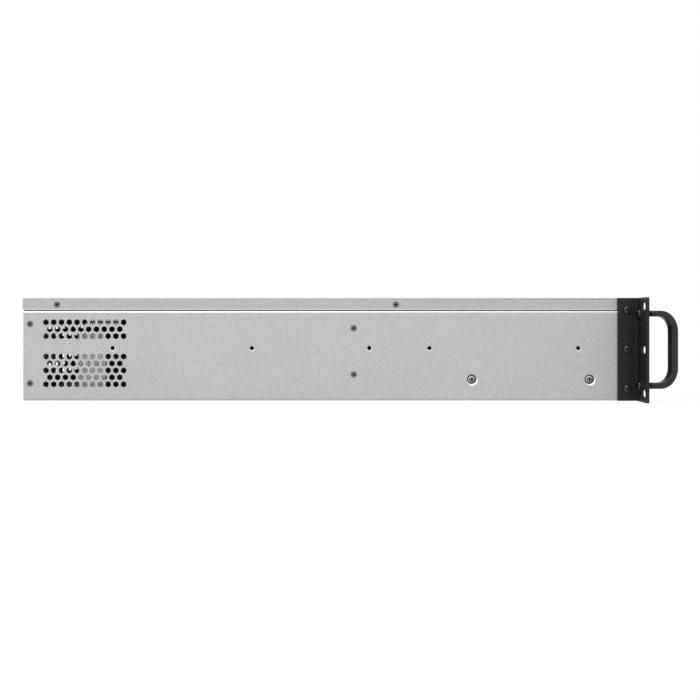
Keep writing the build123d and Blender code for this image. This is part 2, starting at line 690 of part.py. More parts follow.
def handle(side):
    loop = bar_loop(HANDLE_SPAN, HANDLE_REACH, HANDLE_BAR, HANDLE_RADIUS)
    bar = extrude(loop, amount=HANDLE_WIDTH / 2, both=True)
    long_edges = bar.faces().sort_by(Axis.Z)[0].edges() + bar.faces().sort_by(Axis.Z)[-1].edges()
    bevelled = [edge for edge in long_edges if edge.bounding_box().max.X > HANDLE_EDGE]
    bar = chamfer(bevelled, HANDLE_EDGE)
    stand = Pos(side * HANDLE_X, EAR_FRONT, MIDDLE) * Rot(0, 0, -90) * Rot(90, 0, 0)
    bar = stand * bar
    for z in handle_leg_heights():
        bar -= rod_y(side * HANDLE_X, z, M4_RADIUS + SCREW_FIT, (EAR_FRONT - HANDLE_BORE_DEPTH, EAR_FRONT))
    return bar


# Drive cage, trays and backplane

def bay_origin(number):
    """Middle of the bay's floor in X and the floor's height."""
    column = number % BAY_COLUMNS
    row = number // BAY_COLUMNS
    x = -CAGE_HALF + CAGE_SHEET + BAY_WIDTH / 2 + column * (BAY_WIDTH + CAGE_SHEET)
    return x, SHEET + CAGE_SHEET + row * (BAY_HEIGHT + CAGE_SHEET)


def drive_cage():
    y = (RACK + CAGE_SETBACK, RACK + CAGE_REAR)
    cage = block((-CAGE_HALF, CAGE_HALF), y, (SHEET, CAGE_TOP))
    bays = []
    for number in range(BAY_COLUMNS * BAY_ROWS):
        x, z = bay_origin(number)
        bays.append(block(around(x, BAY_WIDTH), past(y), (z, z + BAY_HEIGHT)))
    cage -= bays
    window_y = (y[0] + CAGE_WINDOW_INSET, y[1] - CAGE_WINDOW_INSET)
    above_floor = (SHEET + 2 * CAGE_SHEET, CAGE_TOP + PAST)
    for column in range(BAY_COLUMNS):
        cage -= block(around(bay_origin(column)[0], CAGE_WINDOW), window_y, above_floor)
    reach = HALF - CAGE_HALF + CAGE_SHEET + PAST
    cage -= [place * screw_bore(M3_RADIUS, reach) for place in dimple_places()]
    clearance = Pos(0, 0, -reach) * rod(RAIL_SCREW_ROOM, reach)
    return cage - [place * clearance for place in rail_hole_places() if place.position.Y < y[1]]


def pocket_half():
    return TRAY_WIDTH / 2 - LEVER_SIDE_MARGIN


def pivot_x():
    return pocket_half() - LEVER_GAP - LEVER_THICKNESS / 2


def lever_base():
    return LEVER_LIP + LEVER_GAP


def drive_tray():
    """Tray drawn with its base's middle at the origin in X and Z."""
    half = TRAY_WIDTH / 2
    bezel_rear = BEZEL_FRONT + BEZEL_DEPTH
    bezel = block((-half, half), (BEZEL_FRONT, bezel_rear), (0, TRAY_HEIGHT))
    pocket_top = LEVER_LIP + LEVER_HEIGHT + 2 * LEVER_GAP
    pocket_rear = BEZEL_FRONT + LEVER_THICKNESS + LEVER_POCKET_ROOM
    inner = half - BEZEL_WALL
    grille_base = pocket_top + LEVER_LIP
    ceiling = TRAY_HEIGHT - BEZEL_WALL
    bezel -= block((-inner, inner), (pocket_rear + BEZEL_WALL, bezel_rear), (BEZEL_WALL, ceiling))
    bezel -= block((-inner, inner), (BEZEL_FRONT + BEZEL_WALL, bezel_rear), (grille_base, ceiling))
    bezel -= block((-pocket_half(), pocket_half()), (BEZEL_FRONT - PAST, pocket_rear), (LEVER_LIP, pocket_top))
    slots = []
    slot_z = (grille_base, TRAY_HEIGHT - GRILLE_TOP_DROP)
    for number in range(GRILLE_SLOTS):
        x = (number - (GRILLE_SLOTS - 1) / 2) * GRILLE_PITCH
        slots.append(block(around(x, GRILLE_SLOT), past((BEZEL_FRONT, BEZEL_FRONT + BEZEL_WALL)), slot_z))
    bezel -= slots
    bore_reach = LEVER_GAP + LEVER_PIN_ENGAGE + 2 * LEVER_PIN_FIT
    bore = rod(LEVER_PIN_RADIUS + LEVER_PIN_FIT, LEVER_HEIGHT + 2 * bore_reach)
    bore_base = lever_base() - bore_reach
    bezel -= Pos(pivot_x(), BEZEL_FRONT + LEVER_THICKNESS / 2, bore_base) * bore
    body_y = (bezel_rear - BEZEL_WALL, RACK + TRAY_REAR)
    body = block((-half, half), body_y, (0, TRAY_SIDE))
    body -= block((-half + TRAY_WALL, half - TRAY_WALL), past(body_y), (TRAY_WALL, TRAY_SIDE + PAST))
    for window in (0, 1):
        start = bezel_rear + TRAY_WINDOW_GAP + window * (TRAY_WINDOW_LENGTH + TRAY_WINDOW_GAP)
        body -= block(around(0, TRAY_WINDOW), (start, start + TRAY_WINDOW_LENGTH), past((0, TRAY_WALL)))
    return bezel + body


def tray_lever():
    """Closed lever in the frame of drive_tray."""
    base = lever_base()
    radius = LEVER_THICKNESS / 2
    y = BEZEL_FRONT + radius
    bar = block((-pocket_half() + LEVER_GAP, pivot_x()), (y - radius, y + radius), (base, base + LEVER_HEIGHT))
    depth = (BEZEL_FRONT - PAST, BEZEL_FRONT + LEVER_GRIP_DEPTH)
    height = (base + LEVER_GRIP_RIB, base + LEVER_HEIGHT - LEVER_GRIP_RIB)
    for number in range(LEVER_GRIP_RIBS):
        x = -pocket_half() + LEVER_GAP + (number + 1) * LEVER_GRIP_PITCH
        bar -= block(around(x, LEVER_GRIP_RIB), depth, height)
    bar += Pos(pivot_x(), y, base) * rod(radius, LEVER_HEIGHT)
    pin_base = base - LEVER_GAP - LEVER_PIN_ENGAGE
    pin = rod(LEVER_PIN_RADIUS, LEVER_HEIGHT + 2 * (LEVER_GAP + LEVER_PIN_ENGAGE))
    return bar + Pos(pivot_x(), y, pin_base) * pin


def in_bay(number, piece):
    x, z = bay_origin(number)
    return Pos(x, 0, z + TRAY_CLEARANCE) * piece


def backplane():
    y = (RACK + CAGE_REAR, RACK + CAGE_REAR + BACKPLANE)
    half = CAGE_HALF - BACKPLANE_MARGIN
    board = block((-half, half), y, (SHEET + BACKPLANE_MARGIN, CAGE_TOP - BACKPLANE_MARGIN))
    windows = []
    for number in range(BAY_COLUMNS * BAY_ROWS):
        x, z = bay_origin(number)
        height = around(z + BAY_HEIGHT - BACKPLANE_WINDOW[1], BACKPLANE_WINDOW[1])
        windows.append(block(around(x, BACKPLANE_WINDOW[0]), past(y), height))
    return board - windows


def backplane_connectors():
    """Drive plugs in front of the board and one cable plug behind it for each column."""
    front = RACK + CAGE_REAR
    rear = front + BACKPLANE
    width, height, depth = DRIVE_PLUG
    groove_y = (front - depth - PAST, front - depth / 2)
    plugs = []
    for number in range(BAY_COLUMNS * BAY_ROWS):
        x, z = bay_origin(number)
        middle = z + DRIVE_PLUG_LIFT + height / 2
        plug = block(around(x, width), (front - depth, front), around(middle, height))
        groove = block(around(x, DRIVE_PLUG_GROOVE[0]), groove_y, around(middle, DRIVE_PLUG_GROOVE[1]))
        plugs.append(plug - groove)
    width, height, depth = CABLE_PLUG
    for column in range(BAY_COLUMNS):
        x, z = bay_origin(column)
        plugs.append(block(around(x, width), (rear, rear + depth), around(z + BAY_HEIGHT / 3, height)))
    return plugs


# Front strip with the controls

def strip_place(from_right):
    return STRIP_HALF - from_right


def front_panel():
    plate_z = (CAGE_TOP, BODY_HEIGHT - STRIP_TOP_ROOM)
    plate = block((-STRIP_HALF, STRIP_HALF), (STRIP_FRONT, STRIP_FRONT + STRIP_WALL), plate_z)
    shell_half = UPPER_INSIDE - PANEL_ROOM
    shell_top = COVER_UNDER - SHEET - PANEL_ROOM
    shell_y = (STRIP_FRONT + STRIP_WALL, RACK + STRIP_DEPTH)
    shell = block((-shell_half, shell_half), shell_y, (CAGE_TOP, shell_top))
    inner = shell_half - STRIP_SHELL
    inside_y = (shell_y[0], shell_y[1] + PAST)
    shell -= block((-inner, inner), inside_y, (CAGE_TOP + STRIP_SHELL, shell_top - STRIP_SHELL))
    sill_x = (FRONT_BOARD_RIGHT - FRONT_BOARD_WIDTH, FRONT_BOARD_RIGHT)
    sill_y = (shell_y[0], shell_y[0] + FRONT_BOARD_DEPTH)
    sill = block(sill_x, sill_y, (CAGE_TOP, CAGE_TOP + STRIP_SHELL))
    for x in (sill_x[0], sill_x[1] - FRONT_BOARD_RIB_WIDTH):
        sill += block((x, x + FRONT_BOARD_RIB_WIDTH), sill_y, (CAGE_TOP, FRONT_BOARD_UNDER))
    panel = plate + shell + sill
    cut = past((STRIP_FRONT, shell_y[0]))
    media_x = -STRIP_HALF + MEDIA_BAY_FROM_LEFT
    media_z = around(CONTROL_Z, MEDIA_BAY[1])
    panel -= block((media_x, media_x + MEDIA_BAY[0]), (cut[0], STRIP_FRONT + MEDIA_BAY_DEPTH), media_z)
    vent_z = CONTROL_Z + (STRIP_VENT_ROWS - 1) / 2 * VENT_ROW
    panel -= vent_cut_y(-STRIP_HALF + STRIP_VENT_FROM_LEFT, vent_z, STRIP_VENT_COLUMNS, STRIP_VENT_ROWS, cut)
    panel -= rod_y(strip_place(POWER_FROM_RIGHT), CONTROL_Z, POWER_RADIUS + BUTTON_FIT, cut)
    panel -= rod_y(strip_place(RESET_FROM_RIGHT), CONTROL_Z, RESET_RADIUS + BUTTON_FIT, cut)
    for x in light_places():
        panel -= rod_y(x, CONTROL_Z, LIGHT_RADIUS + SCREW_FIT, cut)
    for x in front_port_places():
        high = (FRONT_BOARD_TOP - USB_ROOM, FRONT_BOARD_TOP + USB_HEIGHT + USB_ROOM)
        panel -= block(around(x, USB_WIDTH + 2 * USB_ROOM), cut, high)
    return panel


def light_places():
    return [strip_place(LIGHT_FROM_RIGHT + number * LIGHT_PITCH) for number in range(LIGHT_COUNT)]


def front_port_places():
    return [strip_place(FRONT_PORT_FROM_RIGHT + number * FRONT_PORT_PITCH) for number in range(FRONT_PORTS)]


def push_button(from_right, radius):
    """Cap in front of the strip, collar behind its wall and a stem towards the switch."""
    x = strip_place(from_right)
    behind = STRIP_FRONT + STRIP_WALL + BUTTON_FIT
    button = rod_y(x, CONTROL_Z, radius, (STRIP_FRONT - BUTTON_PROUD, behind))
    button += rod_y(x, CONTROL_Z, radius + BUTTON_COLLAR_WIDTH, (behind, behind + BUTTON_COLLAR))
    return button + rod_y(x, CONTROL_Z, radius / 2, (behind + BUTTON_COLLAR, behind + BUTTON_STEM))


def front_board():
    """Small board on the strip's ribs, with a switch body behind each button."""
    y = (STRIP_FRONT + STRIP_WALL, STRIP_FRONT + STRIP_WALL + FRONT_BOARD_DEPTH)
    x_span = (FRONT_BOARD_RIGHT - FRONT_BOARD_WIDTH, FRONT_BOARD_RIGHT)
    board = block(x_span, y, (FRONT_BOARD_UNDER, FRONT_BOARD_TOP))
    switch_front = STRIP_FRONT + STRIP_WALL + 2 * BUTTON_FIT + BUTTON_STEM + BUTTON_TRAVEL
    for from_right in (POWER_FROM_RIGHT, RESET_FROM_RIGHT):
        x = strip_place(from_right)
        top = CONTROL_Z + RESET_RADIUS
        switch_y = (switch_front, switch_front + BUTTON_STEM)
        board += block(around(x, 2 * RESET_RADIUS), switch_y, (FRONT_BOARD_TOP, top))
    return board


def front_usb_ports():
    rear = STRIP_FRONT + USB_DEPTH
    middle = FRONT_BOARD_TOP + USB_HEIGHT / 2
    inside_y = (STRIP_FRONT - PAST, rear - USB_BACK)
    tongue_z = (middle + USB_WALL, middle + USB_WALL + USB_TONGUE[1])
    ports = []
    for x in front_port_places():
        port = block(around(x, USB_WIDTH), (STRIP_FRONT, rear), around(middle, USB_HEIGHT))
        port -= block(around(x, USB_WIDTH - 2 * USB_WALL), inside_y, around(middle, USB_HEIGHT - 2 * USB_WALL))
        port += block(around(x, USB_TONGUE[0]), (STRIP_FRONT + USB_WALL, rear - USB_BACK), tongue_z)
        ports.append(port)
    return ports


def light_pipes():
    y = (STRIP_FRONT - SCREW_FIT, STRIP_FRONT + LIGHT_LENGTH)
    return [rod_y(x, CONTROL_Z, LIGHT_RADIUS, y) for x in light_places()]


# Fan wall and fans

def fan_x(number):
    return -WALL_INSIDE + FAN_INSET + FAN_SIZE / 2 + number * (FAN_SIZE + FAN_GAP)


def fan_hole_places():
    reach = FAN_SIZE * FAN_HOLE_SPACING_SHARE / 2
    return [(dx, dz) for dx in (-reach, reach) for dz in (-reach, reach)]


def fan_wall():
    face = (FAN_WALL_FRONT, FAN_WALL_FRONT + SHEET)
    cut = past(face)
    panel = cross_panel(face, (FAN_WALL_FRONT, FAN_WALL_FRONT + WALL_FLANGE))
    for number in range(FAN_COUNT):
        panel -= rod_y(fan_x(number), FAN_Z, FAN_BORE, cut)
    window_x = (SUPPLY_CAGE_LEFT, SUPPLY_CAGE_RIGHT - 2 * SHEET)
    panel -= block(window_x, cut, (SHEET + SUPPLY_CAGE_SIDE_GAP, SHOULDER_BOTTOM - SUPPLY_CAGE_SIDE_GAP))
    return panel - flush_holes(fan_screw_places())


def fan_frame(number):
    """Open frame: two square flanges, the round duct between them and a stator disc on four struts."""
    x = fan_x(number)
    y = (FAN_FRONT, FAN_WALL_FRONT)
    square = fillet(Rectangle(FAN_SIZE, FAN_SIZE).vertices(), FAN_CORNER)
    for dx, dz in fan_hole_places():
        square -= Pos(dx, dz) * Circle(FAN_HOLE_RADIUS)
    frame = along_y(square, (y[0], y[0] + FAN_FLANGE)) + along_y(square, (y[1] - FAN_FLANGE, y[1]))
    frame += along_y(Circle(FAN_SIZE / 2), y)
    frame -= along_y(Circle(FAN_BORE), past(y))
    stator_y = (y[1] - STATOR, y[1])
    stator = Sketch() + Circle(HUB_RADIUS)
    strut = Pos(FAN_BORE / 2, 0) * Rectangle(FAN_BORE + FAN_RIM, STRUT)
    for turn in range(STRUT_COUNT):
        stator += Rot(0, 0, (turn + 0.5) * 360 / STRUT_COUNT) * strut
    frame += along_y(stator, stator_y)
    frame -= along_y(Circle(SHAFT_RADIUS + SHAFT_FIT), past(stator_y))
    return Pos(x, 0, FAN_Z) * frame


def blade_section(radius, pitch):
    """Bowed blade profile on a plane square to the blade, at the given distance from the shaft."""
    half = BLADE_CHORD / 2
    under = [(-half, 0), (0, BLADE_CAMBER), (half, 0)]
    over = [(x, z + BLADE_THICKNESS) for x, z in reversed(under)]
    plane = Plane(origin=(radius, 0, 0), x_dir=(0, 1, 0), z_dir=(1, 0, 0))
    return plane * Rot(0, 0, pitch) * make_face(Polyline(*under, *over, close=True))


def fan_rotor(number):
    """Hub with twisted blades, drawn about Z and then laid along Y."""
    tip = FAN_BORE - BLADE_TIP_GAP
    tip_plane = math.sqrt(tip**2 - (BLADE_CHORD / 2 + BLADE_THICKNESS) ** 2)
    root_plane = math.sqrt(HUB_RADIUS**2 - (BLADE_CHORD / 2) ** 2)
    sections = [blade_section(root_plane, BLADE_ROOT_PITCH), blade_section(tip_plane, BLADE_TIP_PITCH)]
    blade = loft(sections, ruled=True)
    blades = [Rot(0, 0, turn * 360 / BLADE_COUNT) * blade for turn in range(BLADE_COUNT)]
    hub = Pos(0, 0, -ROTOR_LENGTH / 2) * rod(HUB_RADIUS, ROTOR_LENGTH)
    hub += Pos(0, 0, ROTOR_LENGTH / 2) * rod(SHAFT_RADIUS, ROTOR_GAP + SHAFT_LENGTH)
    rotor = hub + blades
    middle = FAN_WALL_FRONT - STATOR - ROTOR_GAP - ROTOR_LENGTH / 2
    return Pos(fan_x(number), middle, FAN_Z) * Rot(-90, 0, 0) * rotor


# Main board and what it carries

def motherboard():
    board = block((BOARD_LEFT, BOARD_RIGHT), (BOARD_FRONT, BOARD_REAR), (BOARD_UNDER, BOARD_TOP))
    for x, y in board_hole_places():
        board -= Pos(x, y, BOARD_UNDER - PAST) * rod(M3_RADIUS + 3 * SCREW_FIT, BOARD + 2 * PAST)
    return board


def board_standoffs():
    posts = []
    for x, y in board_hole_places():
        post = extrude(RegularPolygon(STANDOFF_RADIUS, 6), amount=BOARD_LIFT)
        post -= Pos(0, 0, SHEET) * rod(M3_RADIUS + SCREW_FIT, BOARD_LIFT)
        posts.append(Pos(x, y, SHEET) * post)
    return posts


def board_block(size, x, front):
    """Block on top of the board, centred on x, its front face at front."""
    return block(around(x, size[0]), (front, front + size[1]), (BOARD_TOP, BOARD_TOP + size[2]))


def slot_with_groove(size, groove, x, front):
    slot = board_block(size, x, front)
    top = BOARD_TOP + size[2]
    length = around(front + size[1] / 2, groove[1])
    return slot - block(around(x, groove[0]), length, (top - groove[2], top + PAST))


def socket_x():
    return BOARD_RIGHT - SOCKET_FROM_RIGHT


def cpu_socket():
    """Square frame for the processor, screwed down together with its cooler."""
    front = BOARD_FRONT + BOARD_FRONT_MARGIN + (MEMORY_SLOT[1] - SOCKET[1]) / 2
    frame = board_block(SOCKET, socket_x(), front)
    inner = (SOCKET[0] - 2 * SOCKET_RIM, SOCKET[1] - 2 * SOCKET_RIM, SOCKET[2])
    return frame - Pos(0, 0, 2 * BOARD) * board_block(inner, socket_x(), front + SOCKET_RIM)


def memory_slots():
    first = SOCKET[0] / 2 + MEMORY_GAP
    reach = [first + number * MEMORY_PITCH for number in range(MEMORY_PER_BANK)]
    front = BOARD_FRONT + BOARD_FRONT_MARGIN
    return [
        slot_with_groove(MEMORY_SLOT, MEMORY_GROOVE, socket_x() + side * dx, front)
        for side in (-1, 1)
        for dx in reach
    ]


def expansion_slots():
    front = BOARD_REAR - EXPANSION_REAR - EXPANSION_SLOT[1]
    return [slot_with_groove(EXPANSION_SLOT, EXPANSION_GROOVE, x, front) for x in slot_centres()]


def chipset_heatsink():
    x = BOARD_LEFT + HEAT_SINK_FROM_LEFT
    front = BOARD_FRONT + BOARD_FRONT_MARGIN
    sink = board_block((*HEAT_SINK, HEAT_SINK_BASE), x, front)
    step = (HEAT_SINK[0] - HEAT_SINK_FIN) / (HEAT_SINK_FINS - 1)
    for number in range(HEAT_SINK_FINS):
        at = x - HEAT_SINK[0] / 2 + HEAT_SINK_FIN / 2 + number * step
        sink += board_block((HEAT_SINK_FIN, HEAT_SINK[1], HEAT_SINK_BASE + HEAT_SINK_FIN_HEIGHT), at, front)
    return sink


def rear_ports():
    """Metal shells with their sockets, on the board's rear edge and through the shield."""
    rear = CHASSIS_REAR + PORT_PROUD
    ports = []
    for x, z in port_spans():
        shell = block(x, (rear - PORT_DEPTH, rear), z)
        wide = (x[0] + PORT_WALL, x[1] - PORT_WALL)
        high = (z[0] + PORT_WALL, z[1] - PORT_WALL)
        ports.append(shell - block(wide, (rear - PORT_CAVITY, rear + PAST), high))
    return ports


# Power supplies

def supply_floor(number):
    return SHEET + SUPPLY_CAGE_SHEET + number * (SUPPLY_BAY + SUPPLY_CAGE_SHEET)


def psu_cage():
    """Sheet sleeve with a shelf between the two supplies."""
    y = (SUPPLY_CAGE_FRONT, PANEL_INSIDE)
    cage = block((SUPPLY_CAGE_LEFT, SUPPLY_CAGE_RIGHT), y, (SHEET, SUPPLY_CAGE_TOP))
    inside = (SUPPLY_CAGE_LEFT + SUPPLY_CAGE_SHEET, SUPPLY_CAGE_RIGHT - SUPPLY_CAGE_SHEET)
    for number in (0, 1):
        floor = supply_floor(number)
        cage -= block(inside, past(y), (floor, floor + SUPPLY_BAY))
    return cage


def power_board():
    """Distribution board across the sleeve's front end, with a plug for each supply."""
    y = (SUPPLY_CAGE_FRONT - POWER_BOARD, SUPPLY_CAGE_FRONT)
    board = block((SUPPLY_CAGE_LEFT, SUPPLY_CAGE_RIGHT), y, (SHEET + BACKPLANE_MARGIN, SUPPLY_CAGE_TOP))
    plug_rear = CHASSIS_REAR - SUPPLY_DEPTH - POWER_PLUG_GAP
    for number in (0, 1):
        middle = supply_floor(number) + SUPPLY_BAY / 2
        board += block(around(SUPPLY_X, POWER_PLUG[0]), (y[1], plug_rear), around(middle, POWER_PLUG[1]))
    return board


def supply_middle(number):
    return supply_floor(number) + SUPPLY_BAY / 2


def psu_housing(number):
    """Sheet case with its vented rear face and the pull loop."""
    middle = supply_middle(number)
    y = (CHASSIS_REAR - SUPPLY_DEPTH, CHASSIS_REAR)
    case = block(around(SUPPLY_X, SUPPLY_WIDTH), y, around(middle, SUPPLY_HEIGHT))
    inside = block(
        around(SUPPLY_X, SUPPLY_WIDTH - 2 * SUPPLY_WALL),
        (y[0] + SUPPLY_WALL, y[1] - SUPPLY_WALL),
        around(middle, SUPPLY_INSIDE),
    )
    case -= inside
    face = past((y[1] - SUPPLY_WALL, y[1]))
    vent_x = SUPPLY_X + SUPPLY_VENT_CENTRE - (SUPPLY_VENT_COLUMNS - 1) / 2 * VENT_PITCH
    vent_z = middle + (SUPPLY_VENT_ROWS - 1) / 2 * VENT_ROW
    case -= vent_cut_y(vent_x, vent_z, SUPPLY_VENT_COLUMNS, SUPPLY_VENT_ROWS, face)
    inlet_x = around(SUPPLY_X + INLET_FROM_MIDDLE, INLET[0] + 2 * INLET_FIT)
    case -= block(inlet_x, face, around(middle + INLET_RISE, INLET[1] + 2 * INLET_FIT))
    slot_x = SUPPLY_X + LATCH_FROM_MIDDLE
    slot = (slot_x - LATCH_TAB[0] / 2 - LATCH_TRAVEL - LATCH_FIT, slot_x + LATCH_TAB[0] / 2 + LATCH_FIT)
    case -= block(slot, face, around(middle + LATCH_RISE, LATCH_TAB[1] + 2 * LATCH_FIT))
    front_face = past((y[0], y[0] + SUPPLY_WALL))
    case -= block(around(SUPPLY_X, POWER_PLUG[0]), front_face, around(middle, POWER_PLUG[1]))
    loop = extrude(bar_loop(PULL_SPAN, PULL_REACH, PULL_BAR, PULL_RADIUS), amount=PULL_WIDTH / 2, both=True)
    return case + Pos(SUPPLY_X + PULL_CENTRE, y[1], middle) * Rot(0, 0, 90) * Rot(90, 0, 0) * loop


def psu_inlet(number):
    """Mains inlet: moulded body with a recess and three blades."""
    x = SUPPLY_X + INLET_FROM_MIDDLE
    z = supply_middle(number) + INLET_RISE
    rear = CHASSIS_REAR + INLET_PROUD
    body = block(around(x, INLET[0]), (rear - INLET_DEPTH, rear), around(z, INLET[1]))
    recess = (rear - INLET_RECESS, rear + PAST)
    body -= block(around(x, INLET[0] - 2 * INLET_WALL), recess, around(z, INLET[1] - 2 * INLET_WALL))
    height, width, length = INLET_BLADE
    blade_y = (rear - INLET_RECESS - PAST, rear - INLET_RECESS + length)
    for dx, dz in ((-INLET_BLADE_SPREAD, -1), (0, 1), (INLET_BLADE_SPREAD, -1)):
        body += block(around(x + dx, width), blade_y, around(z + dz * INLET_BLADE_RISE / 2, height))
    return body


def psu_latch(number):
    """Release tab through the rear face, held by a plate behind it."""
    x = SUPPLY_X + LATCH_FROM_MIDDLE
    z = supply_middle(number) + LATCH_RISE
    inside = CHASSIS_REAR - SUPPLY_WALL - LATCH_FIT
    plate_y = (inside - LATCH_PLATE_THICKNESS, inside)
    plate = block(around(x, LATCH_PLATE[0]), plate_y, around(z, LATCH_PLATE[1]))
    tab_y = (inside, CHASSIS_REAR + LATCH_TAB_REACH)
    return plate + block(around(x, LATCH_TAB[0]), tab_y, around(z, LATCH_TAB[1]))


# Card bracket behind the side vents

def riser_bracket():
    x = -WALL_INSIDE + CARD_BRACKET_INSET
    y = (REAR - CARD_BRACKET_REAR_INSET - CARD_BRACKET_LENGTH, REAR - CARD_BRACKET_REAR_INSET)
    bracket = block((x, x + SHEET), y, (SHEET, CARD_BRACKET_TOP))
    return bracket + block((x, x + CARD_BRACKET_FOOT), y, (SHEET, 2 * SHEET))


def riser_connector():
    x = -WALL_INSIDE + CARD_BRACKET_INSET
    rear = REAR - CARD_BRACKET_REAR_INSET
    header = block((x - HEADER[0], x), (rear - HEADER[1], rear), around(HEADER_Z, HEADER[2]))
    wall = HEADER_WALL
    pocket_y = (rear - HEADER[1] + wall, rear - wall)
    return header - block((x - HEADER[0] - PAST, x - wall), pocket_y, around(HEADER_Z, HEADER[2] - 2 * wall))


# Screws, grouped by finish

def zinc_screws():
    """Flush screws of the cover and panels, then the pan screws of the drive cage and the main board."""
    places = cover_screw_places() + panel_screw_places() + fan_screw_places()
    screws = [place * flush_screw() for place in places]
    short = pan_screw(M3_RADIUS, M3_HEAD_RADIUS, DIMPLE_DEPTH, SHEET + CAGE_SHEET)
    screws += [place * Pos(0, 0, -DIMPLE_DEPTH) * short for place in dimple_places()]
    long = pan_screw(M3_RADIUS, M3_HEAD_RADIUS, M3_HEAD, BOARD_SCREW_LENGTH)
    return screws + [Pos(x, y, BOARD_TOP) * long for x, y in board_hole_places()]


def black_screws():
    """Pan screws of the ears, then those of the handles, driven from behind the flange."""
    short = pan_screw(M4_RADIUS, M4_HEAD_RADIUS, M4_HEAD, EAR_SCREW_LENGTH)
    screws = [place * short for place in ear_screw_places()]
    long = Rot(-90, 0, 0) * pan_screw(M4_RADIUS, M4_HEAD_RADIUS, M4_HEAD, HANDLE_SCREW_LENGTH)
    return screws + [Pos(side * HANDLE_X, RACK, z) * long for side in (-1, 1) for z in handle_leg_heights()]


def save(name, piece):
    """Writes one sub-part; a list is a group of separate solids in one file."""
    shape = Compound(children=list(piece)) if isinstance(piece, list) else piece
    export_step(shape, f"parts/{name}.step")


def main():
    os.makedirs("parts", exist_ok=True)
    save("chassis_tray", chassis_tray())
    save("top_cover", top_cover())
    save("rear_panel", rear_panel())
    save("io_shield", io_shield())
    save("slot_covers", slot_covers())
    for name, side in (("left", -1), ("right", 1)):
        save(f"ear_{name}", ear(side))
        save(f"handle_{name}", handle(side))
    save("black_screws", black_screws())
    save("zinc_screws", zinc_screws())
    save("drive_cage", drive_cage())
    save("backplane", backplane())
    save("backplane_connectors", backplane_connectors())
    tray = drive_tray()
    lever = tray_lever()
    for number in range(BAY_COLUMNS * BAY_ROWS):
        save(f"drive_tray_{number + 1}", in_bay(number, tray))
        save(f"tray_lever_{number + 1}", in_bay(number, lever))
    save("front_panel", front_panel())
    save("power_button", push_button(POWER_FROM_RIGHT, POWER_RADIUS))
    save("reset_button", push_button(RESET_FROM_RIGHT, RESET_RADIUS))
    save("front_board", front_board())
    save("front_usb_ports", front_usb_ports())
    save("light_pipes", light_pipes())
    save("fan_wall", fan_wall())
    for number in range(FAN_COUNT):
        save(f"fan_frame_{number + 1}", fan_frame(number))
        save(f"fan_rotor_{number + 1}", fan_rotor(number))
    save("motherboard", motherboard())
    save("board_standoffs", board_standoffs())
    save("cpu_socket", cpu_socket())
    save("memory_slots", memory_slots())
    save("expansion_slots", expansion_slots())
    save("chipset_heatsink", chipset_heatsink())
    save("rear_ports", rear_ports())
    save("psu_cage", psu_cage())
    save("power_board", power_board())
    for number in (0, 1):
        save(f"psu_module_{number + 1}", psu_housing(number))
        save(f"psu_inlet_{number + 1}", psu_inlet(number))
        save(f"psu_latch_{number + 1}", psu_latch(number))
    save("riser_bracket", riser_bracket())
    save("riser_connector", riser_connector())


main()
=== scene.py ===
# %% [markdown]
# # Dressing a two-unit rack server
# The solids of the server arrive as a fixed frame in metres: X across, Y from the front to the rear, Z up.
# This lesson photographs them square on the left side, gives every solid its finish, and swaps the plain
# screws and handles for detailed ones. It also fills the rear sockets and adds the lights of the drive trays.
# Nothing is moved, so each new piece takes its place from the frame.

# %% Load the solids
import math

import bmesh
import bpy
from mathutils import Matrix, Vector


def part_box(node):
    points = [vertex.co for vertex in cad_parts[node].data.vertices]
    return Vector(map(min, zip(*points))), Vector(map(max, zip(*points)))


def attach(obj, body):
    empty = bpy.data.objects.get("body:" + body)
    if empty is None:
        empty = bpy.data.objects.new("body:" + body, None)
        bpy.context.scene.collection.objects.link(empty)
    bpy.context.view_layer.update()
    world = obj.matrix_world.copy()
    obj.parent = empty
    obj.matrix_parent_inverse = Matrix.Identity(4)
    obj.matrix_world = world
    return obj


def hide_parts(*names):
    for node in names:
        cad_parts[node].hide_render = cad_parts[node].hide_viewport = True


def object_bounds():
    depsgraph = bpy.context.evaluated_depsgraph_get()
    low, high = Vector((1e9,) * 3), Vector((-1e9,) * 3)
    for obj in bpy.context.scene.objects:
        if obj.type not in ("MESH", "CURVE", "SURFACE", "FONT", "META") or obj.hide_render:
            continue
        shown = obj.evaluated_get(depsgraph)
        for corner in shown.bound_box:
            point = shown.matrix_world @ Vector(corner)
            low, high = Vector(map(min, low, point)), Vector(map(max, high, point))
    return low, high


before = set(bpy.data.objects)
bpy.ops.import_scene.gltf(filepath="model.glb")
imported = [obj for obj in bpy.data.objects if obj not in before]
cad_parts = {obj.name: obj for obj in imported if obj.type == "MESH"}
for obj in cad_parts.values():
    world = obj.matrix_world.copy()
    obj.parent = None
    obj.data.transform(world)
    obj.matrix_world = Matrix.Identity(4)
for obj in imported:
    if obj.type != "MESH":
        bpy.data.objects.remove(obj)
cad_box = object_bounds()
MM = 0.001

# %% [markdown]
# ## The camera
# The picture is a product shot from the left with the lens level and square to the side wall, so every
# upright edge stays upright. The lens is shifted instead of turned, as on a technical camera, because it
# looks at the wall from a little above the server's middle. The distance decides how far the ear's front
# flange spreads in perspective.

# %% Camera
WALL_DISTANCE = 750 * MM
LENS_HEIGHT = 68.3 * MM
LENS_FROM_RACK = 254.6 * MM
LENS_MM = 45.0
LENS_SHIFT = (0.0154, -0.0415)
SENSOR_MM = 36.0
NEAREST = 10 * MM

